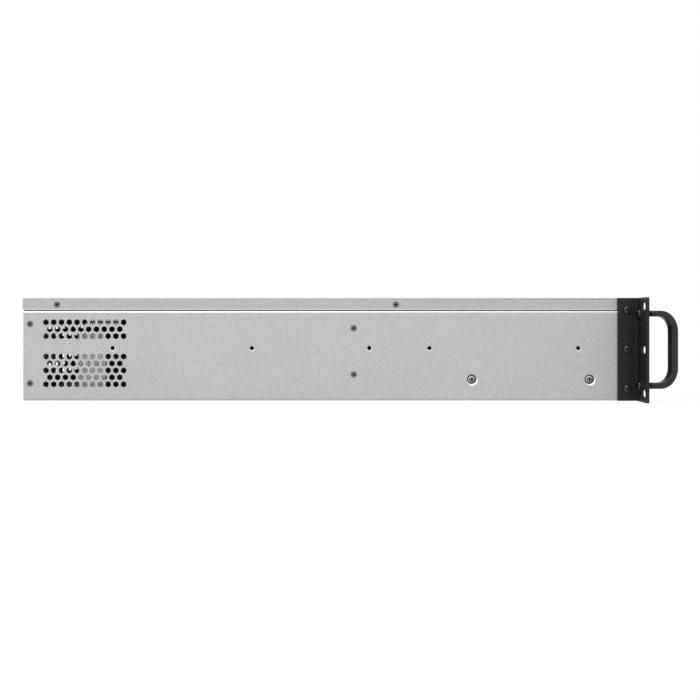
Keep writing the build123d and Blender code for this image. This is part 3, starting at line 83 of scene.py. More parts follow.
wall_low, wall_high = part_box("chassis_tray")
lens = bpy.data.cameras.new("camera")
lens.lens = LENS_MM
lens.sensor_width = SENSOR_MM
lens.shift_x, lens.shift_y = LENS_SHIFT
lens.clip_start = NEAREST
camera = bpy.data.objects.new("camera", lens)
camera.location = (wall_low.x - WALL_DISTANCE, wall_low.y + LENS_FROM_RACK, LENS_HEIGHT)
camera.rotation_euler = (math.radians(90), 0, math.radians(-90))
bpy.context.scene.collection.objects.link(camera)
bpy.context.scene.camera = camera
print("camera at", tuple(round(v, 4) for v in camera.location))

# %% [markdown]
# ## Colours and nodes
# Colours are written as sRGB hex, the way a colour picker shows them, and shaders want linear light, so one
# function converts them. A second function adds any node. It hands back the node's output, so the next node
# can take it straight away and a long tree reads like a short list of steps. A third lays one more colour
# over whatever a finish already has.

# %% Helpers for colours and nodes
def linear(hex_colour):
    """Linear RGBA of an sRGB colour written as #RRGGBB."""
    channels = [int(hex_colour[i:i + 2], 16) / 255 for i in (1, 3, 5)]
    return tuple(c / 12.92 if c <= 0.04045 else ((c + 0.055) / 1.055) ** 2.4 for c in channels) + (1.0,)


def add_node(tree, kind, settings=None, inputs=None, output=None):
    """Adds a node and returns its named output, or its first one in use.

    Inputs are keyed by name, identifier or number. A socket is linked, a list of sockets is linked one by
    one, and anything else is set as the value."""
    node = tree.nodes.new(kind)
    for name, value in (settings or {}).items():
        setattr(node, name, value)
    for key, value in (inputs or {}).items():
        socket = [s for i, s in enumerate(node.inputs) if key in (i, s.identifier, s.name)][0]
        sources = value if isinstance(value, list) else [value]
        if isinstance(sources[0], bpy.types.NodeSocket):
            for source in sources:
                tree.links.new(source, socket)
        else:
            socket.default_value = value
    return node.outputs[output] if output else next((s for s in node.outputs if s.enabled), node)


def lay_over(finish, share, colour):
    """Mixes a colour over the finish's own, by a share from 0 to 1."""
    tree = finish.node_tree
    base = tree.nodes["Principled BSDF"].inputs["Base Color"]
    mixed = add_node(tree, "ShaderNodeMix", {"data_type": "RGBA"}, {
        "Factor": share, "A_Color": base.links[0].from_socket, "B_Color": linear(colour)})
    tree.links.new(mixed, base)


print("mid grey #808080 in linear light:", round(linear("#808080")[0], 3))

# %% [markdown]
# ## Light and background
# The object stands on pure white. The world is white wherever the lens, a reflection or a view through glass
# meets it, and dimmer where it only lights the object, so colours keep their written level. A large lamp
# above the camera's left shoulder brightens edges that face up and left, as in the picture. It stays off
# the camera's axis, because the metal wall would mirror it as a hot spot. Three weak lamps open up the
# other sides.

# %% World
AMBIENT = 0.6

world = bpy.data.worlds.new("studio")
bpy.context.scene.world = world
world.use_nodes = True
sky = world.node_tree
sky.nodes.clear()


def seen_directly(tree):
    """1 where a camera, glossy or transmission ray arrives, otherwise 0."""
    paths = add_node(tree, "ShaderNodeLightPath").node.outputs
    first = add_node(tree, "ShaderNodeMath", {"operation": "MAXIMUM"}, {
        0: paths["Is Camera Ray"], 1: paths["Is Glossy Ray"]})
    return add_node(tree, "ShaderNodeMath", {"operation": "MAXIMUM"}, {
        0: first, 1: paths["Is Transmission Ray"]})


white = linear("#FFFFFF")
fill = add_node(sky, "ShaderNodeBackground", {}, {"Color": white, "Strength": AMBIENT})
plain = add_node(sky, "ShaderNodeBackground", {}, {"Color": white, "Strength": 1.0})
mix = add_node(sky, "ShaderNodeMixShader", {}, {0: seen_directly(sky), 1: fill, 2: plain})
add_node(sky, "ShaderNodeOutputWorld", {}, {"Surface": mix})
bpy.context.scene.view_settings.view_transform = "Standard"
print("ambient level", AMBIENT)

# %% Lamps
LAMP_SIZE = 1.3
LAMPS = {
    "key_light": (Vector((-1.8, 0.65, 2.1)), 35.0),
    "top_light": (Vector((0.0, 0.0, 1.6)), 4.0),
    "front_light": (Vector((-0.7, -2.0, 1.0)), 12.0),
    "rear_light": (Vector((1.2, 1.6, 1.1)), 10.0),
}


def softbox(name, place, target, power):
    lamp = bpy.data.lights.new(name, "AREA")
    lamp.size = LAMP_SIZE
    lamp.energy = power
    holder = bpy.data.objects.new(name, lamp)
    holder.location = place
    holder.rotation_euler = (target - place).to_track_quat("-Z", "Y").to_euler()
    bpy.context.scene.collection.objects.link(holder)


middle = (cad_box[0] + cad_box[1]) / 2
for name, (place, power) in LAMPS.items():
    softbox(name, place, middle, power)
print("object's middle", tuple(round(v, 3) for v in middle))

# %% [markdown]
# ## The floor
# A plain pale sheet under the server. To the lens it is nearly pure white, with a little of its true shaded
# colour left in near the object, so a faint shadow still ties the server to the ground and no horizon shows.

# %% Floor
FLOOR_REACH = 12.0
SHADOW_SHARE = 0.12
SHADOW_REACH = 0.9

plane = bpy.data.meshes.new("floor")
corners = [(x * FLOOR_REACH, y * FLOOR_REACH, wall_low.z) for x, y in ((-1, -1), (1, -1), (1, 1), (-1, 1))]
plane.from_pydata(corners, [], [(0, 1, 2, 3)])
floor = bpy.data.objects.new("floor", plane)
bpy.context.scene.collection.objects.link(floor)
paper = bpy.data.materials.new("white_paper_floor")
paper.use_nodes = True
sheet = paper.node_tree
sheet.nodes.clear()
matt = add_node(sheet, "ShaderNodeBsdfDiffuse", {}, {"Color": linear("#F4F4F4")})
glow = add_node(sheet, "ShaderNodeEmission", {}, {"Color": white, "Strength": 1.0})
away = add_node(sheet, "ShaderNodeVectorMath", {"operation": "LENGTH"}, {
    0: add_node(sheet, "ShaderNodeTexCoord", output="Object")}, "Value")
glowing = add_node(sheet, "ShaderNodeMapRange", {}, {
    "Value": away, "From Max": SHADOW_REACH, "To Min": 1 - SHADOW_SHARE, "To Max": 1.0})
share = add_node(sheet, "ShaderNodeMath", {"operation": "MULTIPLY"}, {0: seen_directly(sheet), 1: glowing})
mix = add_node(sheet, "ShaderNodeMixShader", {}, {0: share, 1: matt, 2: glow})
add_node(sheet, "ShaderNodeOutputMaterial", {}, {"Surface": mix})
plane.materials.append(paper)
print("floor at z =", round(wall_low.z, 4))

# %% [markdown]
# ## How a finish is built
# Every finish starts from one Principled shader with typical values for its material. One noise, whose grains
# have a real size in millimetres, then drives three things at once: a mix of two close colours, a small swing
# in roughness, and a relief of a real depth. Patterns read Object coordinates, so they stay put on a tray
# that slides out.

# %% Helper for finishes
MIDDLE_OF_NOISE = {"From Min": 0.3, "From Max": 0.7}
NOISE_DETAIL = 2.0
SMOOTHEST = 0.88
ROUGHEST = 1.14


def surface(name, colour, second, metallic, roughness, grain, depth, specular=0.5):
    """Finish whose colour, roughness and height waver at the size of its grain; lengths in metres."""
    finish = bpy.data.materials.new(name)
    finish.use_nodes = True
    tree = finish.node_tree
    shader = tree.nodes["Principled BSDF"]
    shader.inputs["Metallic"].default_value = metallic
    shader.inputs["Specular IOR Level"].default_value = specular
    place = add_node(tree, "ShaderNodeTexCoord", output="Object")
    noise = add_node(tree, "ShaderNodeTexNoise", {}, {
        "Vector": place, "Scale": 1 / grain, "Detail": NOISE_DETAIL})
    share = add_node(tree, "ShaderNodeMapRange", {}, {"Value": noise, **MIDDLE_OF_NOISE})
    skin = add_node(tree, "ShaderNodeMix", {"data_type": "RGBA"}, {
        "Factor": share, "A_Color": linear(colour), "B_Color": linear(second)})
    rough = add_node(tree, "ShaderNodeMapRange", {}, {
        "Value": noise, **MIDDLE_OF_NOISE, "To Min": SMOOTHEST * roughness, "To Max": ROUGHEST * roughness})
    bump = add_node(tree, "ShaderNodeBump", {}, {"Height": noise, "Distance": depth})
    tree.links.new(skin, shader.inputs["Base Color"])
    tree.links.new(rough, shader.inputs["Roughness"])
    tree.links.new(bump, shader.inputs["Normal"])
    return finish


print("finish helper ready")

# %% [markdown]
# ## Zinc-coated sheet steel
# The chassis and cover are galvanised sheet with a minimised spangle: a matt, light grey skin with a fine
# salt-and-pepper grain and faint clouds where the coating runs thicker. It is a metal, yet so diffuse that
# half of its look is plain grey, so the metallic value stays partial. The clouds are a second, larger noise
# laid over the colour that the grain has already mixed. Along the cover's flange the colour also carries
# painted light: white bands are painted highlights on the joggle's shoulder and the flange's lower edge,
# and grey bands are painted shade in the gap above the shoulder and on the cover's top fold. All run level
# around the server, so one band between two heights paints each of them.

# %% Zinc-coated sheet
ZINC_GRAIN = 1.1 * MM
ZINC_CLOUD = 45 * MM
ZINC_DEPTH = 0.02 * MM
ZINC_METALLIC = 0.55
ZINC_ROUGHNESS = 0.5
CLOUD_SHARE = 0.22
BAND_EDGE = 0.1 * MM
FAR = 1.0


def zinc_sheet(name, light, dark):
    """Zinc skin: a fine grain of two greys with faint clouds of the darker one."""
    finish = surface(name, dark, light, ZINC_METALLIC, ZINC_ROUGHNESS, ZINC_GRAIN, ZINC_DEPTH)
    tree = finish.node_tree
    place = add_node(tree, "ShaderNodeTexCoord", output="Object")
    cloud = add_node(tree, "ShaderNodeTexNoise", {}, {"Vector": place, "Scale": 1 / ZINC_CLOUD})
    lay_over(finish, add_node(tree, "ShaderNodeMapRange", {}, {
        "Value": cloud, **MIDDLE_OF_NOISE, "To Max": CLOUD_SHARE}), dark)
    return finish


def height(finish):
    """Socket with the height above the floor."""
    place = add_node(finish.node_tree, "ShaderNodeTexCoord", output="Object")
    return add_node(finish.node_tree, "ShaderNodeSeparateXYZ", {}, {0: place}, "Z")


def from_nearest(finish, spots):
    """Socket with the distance to the nearest of the lines that cross the server at the (y, z) spots."""
    tree = finish.node_tree
    place = add_node(tree, "ShaderNodeTexCoord", output="Object")
    flat = add_node(tree, "ShaderNodeVectorMath", {"operation": "MULTIPLY"}, {0: place, 1: (0.0, 1.0, 1.0)})
    nearest = FAR
    for y, z in spots:
        away = add_node(tree, "ShaderNodeVectorMath", {"operation": "DISTANCE"}, {
            0: flat, 1: (0.0, y, z)}, "Value")
        nearest = add_node(tree, "ShaderNodeMath", {"operation": "MINIMUM"}, {0: away, 1: nearest})
    return nearest


def paint(finish, measure, low, high, colour):
    """Lays a colour over the finish where the measure lies between two values."""
    tree = finish.node_tree
    above = add_node(tree, "ShaderNodeMapRange", {}, {
        "Value": measure, "From Min": low, "From Max": low + BAND_EDGE})
    below = add_node(tree, "ShaderNodeMapRange", {}, {
        "Value": measure, "From Min": high, "From Max": high - BAND_EDGE})
    inside = add_node(tree, "ShaderNodeMath", {"operation": "MULTIPLY"}, {0: above, 1: below})
    lay_over(finish, inside, colour)


chassis_zinc = zinc_sheet("galvanised_steel_skin", "#C1C1C1", "#ACACAD")
cover_zinc = zinc_sheet("galvanised_steel_cover", "#BABABA", "#A6A6A7")
rear_zinc = zinc_sheet("galvanised_steel_rear", "#C1C1C1", "#ACACAD")
inner_zinc = zinc_sheet("galvanised_steel_inside", "#C2C4C5", "#AEB0B2")
# Painted light: the bracket behind the vents is near white, lighter than its zinc, for the light coming
# through the vents.
lit_bracket_zinc = zinc_sheet("zinc_bracket_painted_lighter", "#EDEDEC", "#E2E2E2")
print("zinc grain", ZINC_GRAIN / MM, "mm")

# %% Painted highlights and shade along the cover's flange
flange_low, cover_high = (corner.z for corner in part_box("top_cover"))
# finish, height the band is measured from, its lower and upper edge in mm, colour
# Painted light: white bands are painted highlights, grey bands are painted shade in the gap and on the top
# fold.
LIGHT_AND_SHADE_BANDS = (
    (chassis_zinc, flange_low, -2.2, -1.2, "#FFFFFF"),
    (chassis_zinc, flange_low, -1.2, 1.0, "#5E5E5F"),
    (cover_zinc, flange_low, -0.1, 0.4, "#FFFFFF"),
    (cover_zinc, cover_high, -1.7, -0.1, "#979798"),
)

for finish, start, low, high, colour in LIGHT_AND_SHADE_BANDS:
    paint(finish, height(finish), start + low * MM, start + high * MM, colour)
print("bands", len(LIGHT_AND_SHADE_BANDS))

# %% [markdown]
# ## Painted highlights and shade at the dimples and rail holes
# The bright crescent on each dimple's rim is a painted highlight, shifted down and forward to the slope that
# faces the light, and the dark ring on the opposite slope is painted shade. The tapped rail holes have the
# same two marks, only smaller, with the shade round the hole's edge. Each mark is a ring around its hole,
# and each ring's middle may be shifted against the hole.

# %% Painted highlights and shade around dimples and rail holes
DIMPLES = [(y * MM, 18.1 * MM) for y in (-223.1, -122.1)]
RAIL_HOLES = [(y * MM, 45.0 * MM) for y in (-213.2, -85.8, -34.2, 66.4, 185.8)]
# holes, shift of the ring's middle in mm, its inner and outer radius in mm, colour
# White rings are painted highlights and dark rings are painted shade, around the dimples and rail holes.
LIGHT_AND_SHADE_RINGS = (
    (DIMPLES, (-0.5, -0.75), 0.0, 4.5, "#FFFFFF"),
    (DIMPLES, (0.15, 0.2), 2.7, 4.2, "#47474A"),
    (RAIL_HOLES, (-0.15, -0.35), 0.0, 2.3, "#F4F4F4"),
    (RAIL_HOLES, (0.0, 0.0), 0.0, 1.95, "#1E1E1F"),
)

for spots, (shift_y, shift_z), inner, outer, colour in LIGHT_AND_SHADE_RINGS:
    shifted = [(y + shift_y * MM, z + shift_z * MM) for y, z in spots]
    paint(chassis_zinc, from_nearest(chassis_zinc, shifted), inner * MM, outer * MM, colour)
print("dimples", len(DIMPLES), "rail holes", len(RAIL_HOLES), "a side")

# %% [markdown]
# ## Black powder coat
# Ears and handles are steel under a baked powder coat. It levels out into a fine orange peel, so it is black
# with a soft, slightly broken sheen. The handles are smoother than the ears and catch more light.

# %% Black powder coat
PEEL = 0.9 * MM
PEEL_DEPTH = 0.08 * MM


def powder_coat(name, colour, second, roughness, specular):
    return surface(name, colour, second, 0.0, roughness, PEEL, PEEL_DEPTH, specular)


ear_black = powder_coat("black_powder_coat", "#141415", "#1D1D1E", 0.5, 0.3)
handle_black = powder_coat("smooth_black_powder_coat", "#131314", "#1B1B1C", 0.36, 0.4)
print("orange peel", PEEL / MM, "mm")

# %% [markdown]
# ## Moulded plastics
# Trays, levers, sockets and fan parts are injection moulded. Their moulds are spark-eroded, which leaves a
# fine, even grain that kills gloss. The grain is the same on all of them, so one line each gives the colour,
# a slightly lighter second colour, and the gloss.

# %% Moulded plastics
MOULD_GRAIN = 0.4 * MM
MOULD_DEPTH = 0.015 * MM
MOULD_SPECULAR = 0.4
CLARITY = 0.35


def moulded(name, colour, second, roughness):
    return surface(name, colour, second, 0.0, roughness, MOULD_GRAIN, MOULD_DEPTH, MOULD_SPECULAR)


tray_plastic = moulded("black_abs_polycarbonate", "#1B1C1E", "#202124", 0.5)
lever_plastic = moulded("dark_grey_abs", "#3A3C40", "#404247", 0.45)
fan_plastic = moulded("black_glass_filled_pbt", "#17181A", "#1E1F21", 0.55)
button_plastic = moulded("grey_abs", "#8C9094", "#95999D", 0.4)
latch_plastic = moulded("green_polyamide", "#2C8A55", "#32935D", 0.45)
header_plastic = moulded("white_polyamide", "#FAFAF8", "#F4F4F1", 0.45)
socket_plastic = moulded("black_liquid_crystal_polymer", "#1E1F21", "#242527", 0.5)
video_plastic = moulded("blue_polybutylene", "#2B4F8C", "#305593", 0.45)
light_plastic = moulded("clear_polycarbonate", "#D7DCE0", "#DEE3E6", 0.15)
light_plastic.node_tree.nodes["Principled BSDF"].inputs["Transmission Weight"].default_value = CLARITY
print("mould grain", MOULD_GRAIN / MM, "mm")

# %% [markdown]
# ## Plated and bare metals
# Screws are zinc plated and tumbled, so they are darker and shinier than the sheet around them. Connector
# shells are nickel, contacts are gold over nickel, standoffs are turned brass, and the heat sink is extruded
# aluminium. Plating leaves a skin that wavers over about half a millimetre. The faces of a screw's cross
# recess carry a named attribute, and there the screws are painted near black: painted shade in the recess.

# %% Plated and bare metals
PLATING = 0.5 * MM
PLATING_DEPTH = 0.005 * MM


def plated(name, colour, second, roughness):
    return surface(name, colour, second, 1.0, roughness, PLATING, PLATING_DEPTH)


screw_zinc = plated("zinc_plated_screw", "#858586", "#757577", 0.32)
screw_black = plated("black_oxide_screw", "#48484A", "#3C3C3E", 0.22)
shell_nickel = plated("nickel_plated_shell", "#C4C1BA", "#BAB7B0", 0.25)
contact_gold = plated("gold_flashed_contact", "#D6AE5A", "#C9A14F", 0.25)
post_brass = plated("turned_brass", "#C8A25C", "#BD9851", 0.3)
sink_aluminium = plated("extruded_aluminium", "#B4B6B9", "#ABADB0", 0.4)
# Painted shade: the faces of the cross recess are painted near black.
for finish in (screw_zinc, screw_black):
    pit = add_node(finish.node_tree, "ShaderNodeAttribute", {"attribute_name": "pit"}, {}, "Fac")
    lay_over(finish, pit, "#1C1C1D")
print("plating wavers over", PLATING / MM, "mm")

# %% [markdown]
# ## Printed circuit board
# Green solder mask over glass fibre. Copper tracks lie under the mask and show as slightly lighter lines, so
# a brick pattern of very thin joints stands in for bundles of tracks, fading in and out over the board.

# %% Printed circuit board
TRACK_PITCH = 3.2 * MM
TRACK_WIDTH = 0.25 * MM
TRACK_RUN = 6 * TRACK_PITCH
TRACK_STAGGER = 0.3
TRACK_FIELD = 30 * MM
FIELD_EDGE = {"From Min": 0.45, "From Max": 0.6}
MASK_GRAIN = 0.3 * MM
MASK_DEPTH = 0.01 * MM

board_green = surface("green_solder_mask", "#0F4A2C", "#115030", 0.0, 0.3, MASK_GRAIN, MASK_DEPTH)
tree = board_green.node_tree
place = add_node(tree, "ShaderNodeTexCoord", output="Object")
tracks = add_node(tree, "ShaderNodeTexBrick", {"offset": TRACK_STAGGER}, {
    "Vector": place, "Scale": 1.0, "Mortar Size": TRACK_WIDTH, "Brick Width": TRACK_RUN,
    "Row Height": TRACK_PITCH}, "Fac")
field = add_node(tree, "ShaderNodeTexNoise", {}, {"Vector": place, "Scale": 1 / TRACK_FIELD})
strength = add_node(tree, "ShaderNodeMapRange", {}, {"Value": field, **FIELD_EDGE})
lines = add_node(tree, "ShaderNodeMath", {"operation": "MULTIPLY"}, {0: tracks, 1: strength})
lay_over(board_green, lines, "#2C7A4C")
print("track pitch", TRACK_PITCH / MM, "mm")

# %% [markdown]
# ## Finishes on the solids
# Each solid keeps its shape and gets its finish in its own material slot.

# %% Give every solid its finish
finishes = {
    chassis_zinc: ["chassis_tray"],
    rear_zinc: ["rear_panel"],
    cover_zinc: ["top_cover"],
    inner_zinc: ["io_shield", "slot_covers", "drive_cage", "fan_wall", "psu_cage", "psu_module_1",
                 "psu_module_2"],
    lit_bracket_zinc: ["riser_bracket"],
    ear_black: ["ear_left", "ear_right"],
    handle_black: ["handle_left", "handle_right"],
    screw_black: ["black_screws"],
    screw_zinc: ["zinc_screws"],
    board_green: ["backplane", "front_board", "motherboard", "power_board"],
    socket_plastic: ["backplane_connectors", "cpu_socket", "memory_slots", "expansion_slots",
                     "psu_inlet_1", "psu_inlet_2"],
    tray_plastic: ["front_panel"],
    button_plastic: ["power_button", "reset_button"],
    shell_nickel: ["front_usb_ports", "rear_ports"],
    light_plastic: ["light_pipes"],
    post_brass: ["board_standoffs"],
    sink_aluminium: ["chipset_heatsink"],
    latch_plastic: ["psu_latch_1", "psu_latch_2"],
    header_plastic: ["riser_connector"],
    fan_plastic: [],
    lever_plastic: [],
}
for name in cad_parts:
    if name.startswith("drive_tray"):
        finishes[tray_plastic].append(name)
    if name.startswith("tray_lever"):
        finishes[lever_plastic].append(name)
    if name.startswith("fan_") and name != "fan_wall":
        finishes[fan_plastic].append(name)
finished = set()
for finish, names in finishes.items():
    for name in names:
        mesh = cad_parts[name].data
        mesh.materials.clear()
        mesh.materials.append(finish)
        finished.add(name)
print("without a finish:", sorted(set(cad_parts) - finished))

# %% [markdown]
# ## Where the small parts sit
# One solid of the frame can hold many separate bodies, such as all the zinc screws. A copy of its mesh is
# merged at its shared corners, the connected groups are collected, and each group's box says where one screw
# or one socket is. The boxes are sorted, so the order is the same on every run.

# %% Boxes of the separate bodies in one solid
MERGE = 0.01 * MM


def loose_boxes(node):
    """(lowest, highest) corner of each separate body in a solid, in a fixed order."""
    merged = bmesh.new()
    merged.from_mesh(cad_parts[node].data)
    bmesh.ops.remove_doubles(merged, verts=merged.verts, dist=MERGE)
    merged.verts.ensure_lookup_table()
    seen = set()
    boxes = []
    for start in merged.verts:
        if start.index in seen:
            continue
        seen.add(start.index)
        group = [start]
        for vert in group:
            for edge in vert.link_edges:
                other = edge.other_vert(vert)
                if other.index not in seen:
                    seen.add(other.index)
                    group.append(other)
        low = Vector(min(v.co[i] for v in group) for i in range(3))
        high = Vector(max(v.co[i] for v in group) for i in range(3))
        boxes.append((low, high))
    merged.free()
    return sorted(boxes, key=lambda box: tuple(round(v / MM) for v in (box[0] + box[1])))


for node in ("zinc_screws", "black_screws", "rear_ports"):
    print(node, len(loose_boxes(node)))

# %% [markdown]
# ## Growing pieces on points
# Small repeated parts are grown by Geometry Nodes. The base mesh is only points, each with two directions:
# the axis that the part's own Z follows and the side that its X follows. The tree builds one part from named
# sizes and sets it on every point. The result is applied to a plain mesh, so nothing stays live.

# %% Helpers for trees
def new_tree(name, sizes):
    """Geometry tree with the base points and the named sizes as inputs; returns it with its input sockets."""
    tree = bpy.data.node_groups.new(name, "GeometryNodeTree")
    tree.interface.new_socket("Points", in_out="INPUT", socket_type="NodeSocketGeometry")
    kinds = {int: "NodeSocketInt", float: "NodeSocketFloat", tuple: "NodeSocketVector"}
    for label, value in sizes.items():
        tree.interface.new_socket(label, in_out="INPUT", socket_type=kinds[type(value)]).default_value = value
    tree.interface.new_socket("Geometry", in_out="OUTPUT", socket_type="NodeSocketGeometry")
    return tree, add_node(tree, "NodeGroupInput").node.outputs


def raised(tree, part, rise):
    """The part moved along Z by a socket's value."""
    offset = add_node(tree, "ShaderNodeCombineXYZ", {}, {"Z": rise})
    return add_node(tree, "GeometryNodeTransform", {}, {"Geometry": part, "Translation": offset})


def end_tree(tree, size, part, finish):
    """Sets the part on every point, turned at random by up to Turn, and makes plain faces of it."""
    axis = add_node(tree, "GeometryNodeInputNamedAttribute", {"data_type": "FLOAT_VECTOR"}, {"Name": "axis"})
    side = add_node(tree, "GeometryNodeInputNamedAttribute", {"data_type": "FLOAT_VECTOR"}, {"Name": "side"})
    aimed = add_node(tree, "FunctionNodeAlignRotationToVector", {"axis": "Z"}, {"Vector": axis})
    faced = add_node(tree, "FunctionNodeAlignRotationToVector", {"axis": "X", "pivot_axis": "Z"}, {
        "Rotation": aimed, "Vector": side})
    angle = add_node(tree, "FunctionNodeRandomValue", {"data_type": "FLOAT"}, {
        "Max_001": size["Turn"], "Seed": size["Seed"]})
    spin = add_node(tree, "FunctionNodeAxisAngleToRotation", {}, {"Axis": (0, 0, 1), "Angle": angle})
    turned = add_node(tree, "FunctionNodeRotateRotation", {"rotation_space": "LOCAL"}, {
        "Rotation": faced, "Rotate By": spin})
    copies = add_node(tree, "GeometryNodeInstanceOnPoints", {}, {
        "Points": size["Points"], "Instance": part, "Rotation": turned})
    real = add_node(tree, "GeometryNodeRealizeInstances", {}, {0: copies})
    coated = add_node(tree, "GeometryNodeSetMaterial", {}, {"Geometry": real, "Material": finish})
    add_node(tree, "NodeGroupOutput", {}, {0: coated})


def grow(name, spots, tree, sizes, body):
    """Plain mesh of the tree's parts on the spots (place, axis, side), riding on a body."""
    mesh = bpy.data.meshes.new(name)
    mesh.from_pydata([spot[0] for spot in spots], [], [])
    for number, label in ((1, "axis"), (2, "side")):
        mesh.attributes.new(label, "FLOAT_VECTOR", "POINT")
        for item, spot in zip(mesh.attributes[label].data, spots):
            item.vector = spot[number]
    piece = bpy.data.objects.new(name, mesh)
    bpy.context.scene.collection.objects.link(piece)
    modifier = piece.modifiers.new(name, "NODES")
    modifier.node_group = tree
    for item in tree.interface.items_tree:
        if item.in_out == "INPUT" and item.name in sizes:
            modifier[item.identifier] = sizes[item.name]
    grown = bpy.data.meshes.new_from_object(piece.evaluated_get(bpy.context.evaluated_depsgraph_get()))
    piece.modifiers.clear()
    finish = grown.materials[-1]
    grown.materials.clear()
    grown.materials.append(finish)
    grown.polygons.foreach_set("material_index", [0] * len(grown.polygons))
    for label in ("axis", "side"):
        if label in grown.attributes:
            grown.attributes.remove(grown.attributes[label])
    piece.data = grown
    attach(piece, body)
    print(name, "on", body, "faces", len(grown.polygons))
    return piece


print("tree helpers ready")

# %% [markdown]
# ## Turned shapes
# Screw heads, pins and light lenses are all turned on a lathe or have the look of it. One cylinder of radius
# one is drawn with a few rings, and every ring is widened or narrowed by its height: radius = seat at the
# bottom, top at the top, and the power called Dome decides between a straight cone and a round shoulder.

# %% Turned shape
TURNED_SIDES = 28
TURNED_RINGS = 5


def turned_shape(tree, size):
    """Solid of revolution whose top face lies at height 0 and whose body goes down from it."""
    blank = add_node(tree, "GeometryNodeMeshCylinder", {}, {
        "Vertices": TURNED_SIDES, "Side Segments": TURNED_RINGS, "Radius": 1.0, "Depth": size["Height"]})
    spot = add_node(tree, "GeometryNodeInputPosition")
    level = add_node(tree, "ShaderNodeSeparateXYZ", {}, {0: spot}, "Z")
    share = add_node(tree, "ShaderNodeMath", {"operation": "DIVIDE"}, {0: level, 1: size["Height"]})
    upward = add_node(tree, "ShaderNodeMath", {"operation": "ADD"}, {0: share, 1: 0.5})
    curve = add_node(tree, "ShaderNodeMath", {"operation": "POWER"}, {0: upward, 1: size["Dome"]})
    radius = add_node(tree, "ShaderNodeMapRange", {}, {
        "Value": curve, "To Min": size["Seat Radius"], "To Max": size["Top Radius"]})
    widen = add_node(tree, "ShaderNodeCombineXYZ", {}, {"X": radius, "Y": radius, "Z": 1.0})
    ringed = add_node(tree, "ShaderNodeVectorMath", {"operation": "MULTIPLY"}, {0: spot, 1: widen})
    half = add_node(tree, "ShaderNodeMath", {"operation": "MULTIPLY"}, {0: size["Height"], 1: -0.5})
    drop = add_node(tree, "ShaderNodeCombineXYZ", {}, {"Z": half})
    return add_node(tree, "GeometryNodeSetPosition", {}, {
        "Geometry": blank, "Position": ringed, "Offset": drop})


print("sides", TURNED_SIDES, "rings", TURNED_RINGS)

# %% [markdown]
# ## Cross-recess screws
# Two crossed bars are cut out of the turned head. One bar reaches a tenth deeper than the other, as the core
# of a real recess does, and it also keeps the two cutters' floors apart, which gives a clean cut. The cutters
# carry a named attribute, and the cut leaves it on the recess, where the finish paints shade. A plain shank
# goes down from the head, and each screw is turned by chance, because nobody lines them up.

# %% Cross-recess screw
SHANK_SIDES = 20
CORE_DEPTH = 1.1
SCREW = {"Seat Radius": 2.4 * MM, "Top Radius": 1.6 * MM, "Dome": 3.0, "Height": 1.6 * MM,
         "Shank Radius": 1.45 * MM, "Shank Length": 5.0 * MM, "Recess Reach": 1.3 * MM,
         "Recess Width": 0.55 * MM, "Recess Depth": 0.9 * MM, "Turn": math.tau, "Seed": 7}


def screw_tree(finish):
    tree, size = new_tree("cross_recess_screw", SCREW)
    wide = add_node(tree, "ShaderNodeMath", {"operation": "MULTIPLY"}, {0: size["Recess Reach"], 1: 2.0})
    deep = add_node(tree, "ShaderNodeMath", {"operation": "MULTIPLY"}, {0: size["Recess Depth"], 1: 2.0})
    core = add_node(tree, "ShaderNodeMath", {"operation": "MULTIPLY"}, {0: deep, 1: CORE_DEPTH})
    # The cutters mark the recess faces that the finish paints with shade.
    cutters = []
    for x, y, z in ((wide, size["Recess Width"], deep), (size["Recess Width"], wide, core)):
        bar = add_node(tree, "ShaderNodeCombineXYZ", {}, {"X": x, "Y": y, "Z": z})
        bar = add_node(tree, "GeometryNodeMeshCube", {}, {"Size": bar})
        cutters.append(add_node(tree, "GeometryNodeStoreNamedAttribute", {"domain": "FACE"}, {
            "Geometry": bar, "Name": "pit", "Value": 1.0}))
    head = add_node(tree, "GeometryNodeMeshBoolean", {"operation": "DIFFERENCE"}, {
        "Mesh 1": turned_shape(tree, size), "Mesh 2": cutters})
    shank = add_node(tree, "GeometryNodeMeshCylinder", {}, {
        "Vertices": SHANK_SIDES, "Radius": size["Shank Radius"], "Depth": size["Shank Length"]})
    half = add_node(tree, "ShaderNodeMath", {"operation": "MULTIPLY"}, {0: size["Shank Length"], 1: -0.5})
    below = add_node(tree, "ShaderNodeMath", {"operation": "SUBTRACT"}, {0: half, 1: size["Height"]})
    screw = add_node(tree, "GeometryNodeJoinGeometry", {}, {0: [head, raised(tree, shank, below)]})
    end_tree(tree, size, screw, finish)
    return tree


zinc_screw_tree = screw_tree(screw_zinc)
black_screw_tree = screw_tree(screw_black)
print("screw sizes", {name: round(value / MM, 2) for name, value in SCREW.items() if "Radius" in name})

# %% [markdown]
# ## The server's screws
# Each plain screw's box gives the place of its outer end, the way it points and its length. The one size of
# the box that differs from the two others lies along the screw. The length then tells the kinds apart: flush
# countersunk screws in the walls, low pan heads in the dimples, board screws, ear screws and handle screws.

# %% Place the screws
def screw_spot(low, high):
    """(outer end, outward axis, side) and the length of a screw, from its box."""
    size = high - low
    along = max(range(3), key=lambda i: abs(3 * size[i] - sum(size)))
    outward = Vector((0, 0, 0))
    outward[along] = -1.0 if along == 0 and low.x < 0 else 1.0
    side = Vector((0, 0, 0))
    side[(along + 1) % 3] = 1.0
    end = (low + high) / 2 + outward * size[along] / 2
    return (end, outward, side), size[along]


LARGE_SCREW = {"Seat Radius": 3.6 * MM, "Top Radius": 2.4 * MM, "Height": 2.2 * MM, "Shank Radius": 1.95 * MM,
               "Recess Reach": 2.0 * MM, "Recess Width": 0.8 * MM, "Recess Depth": 1.3 * MM}
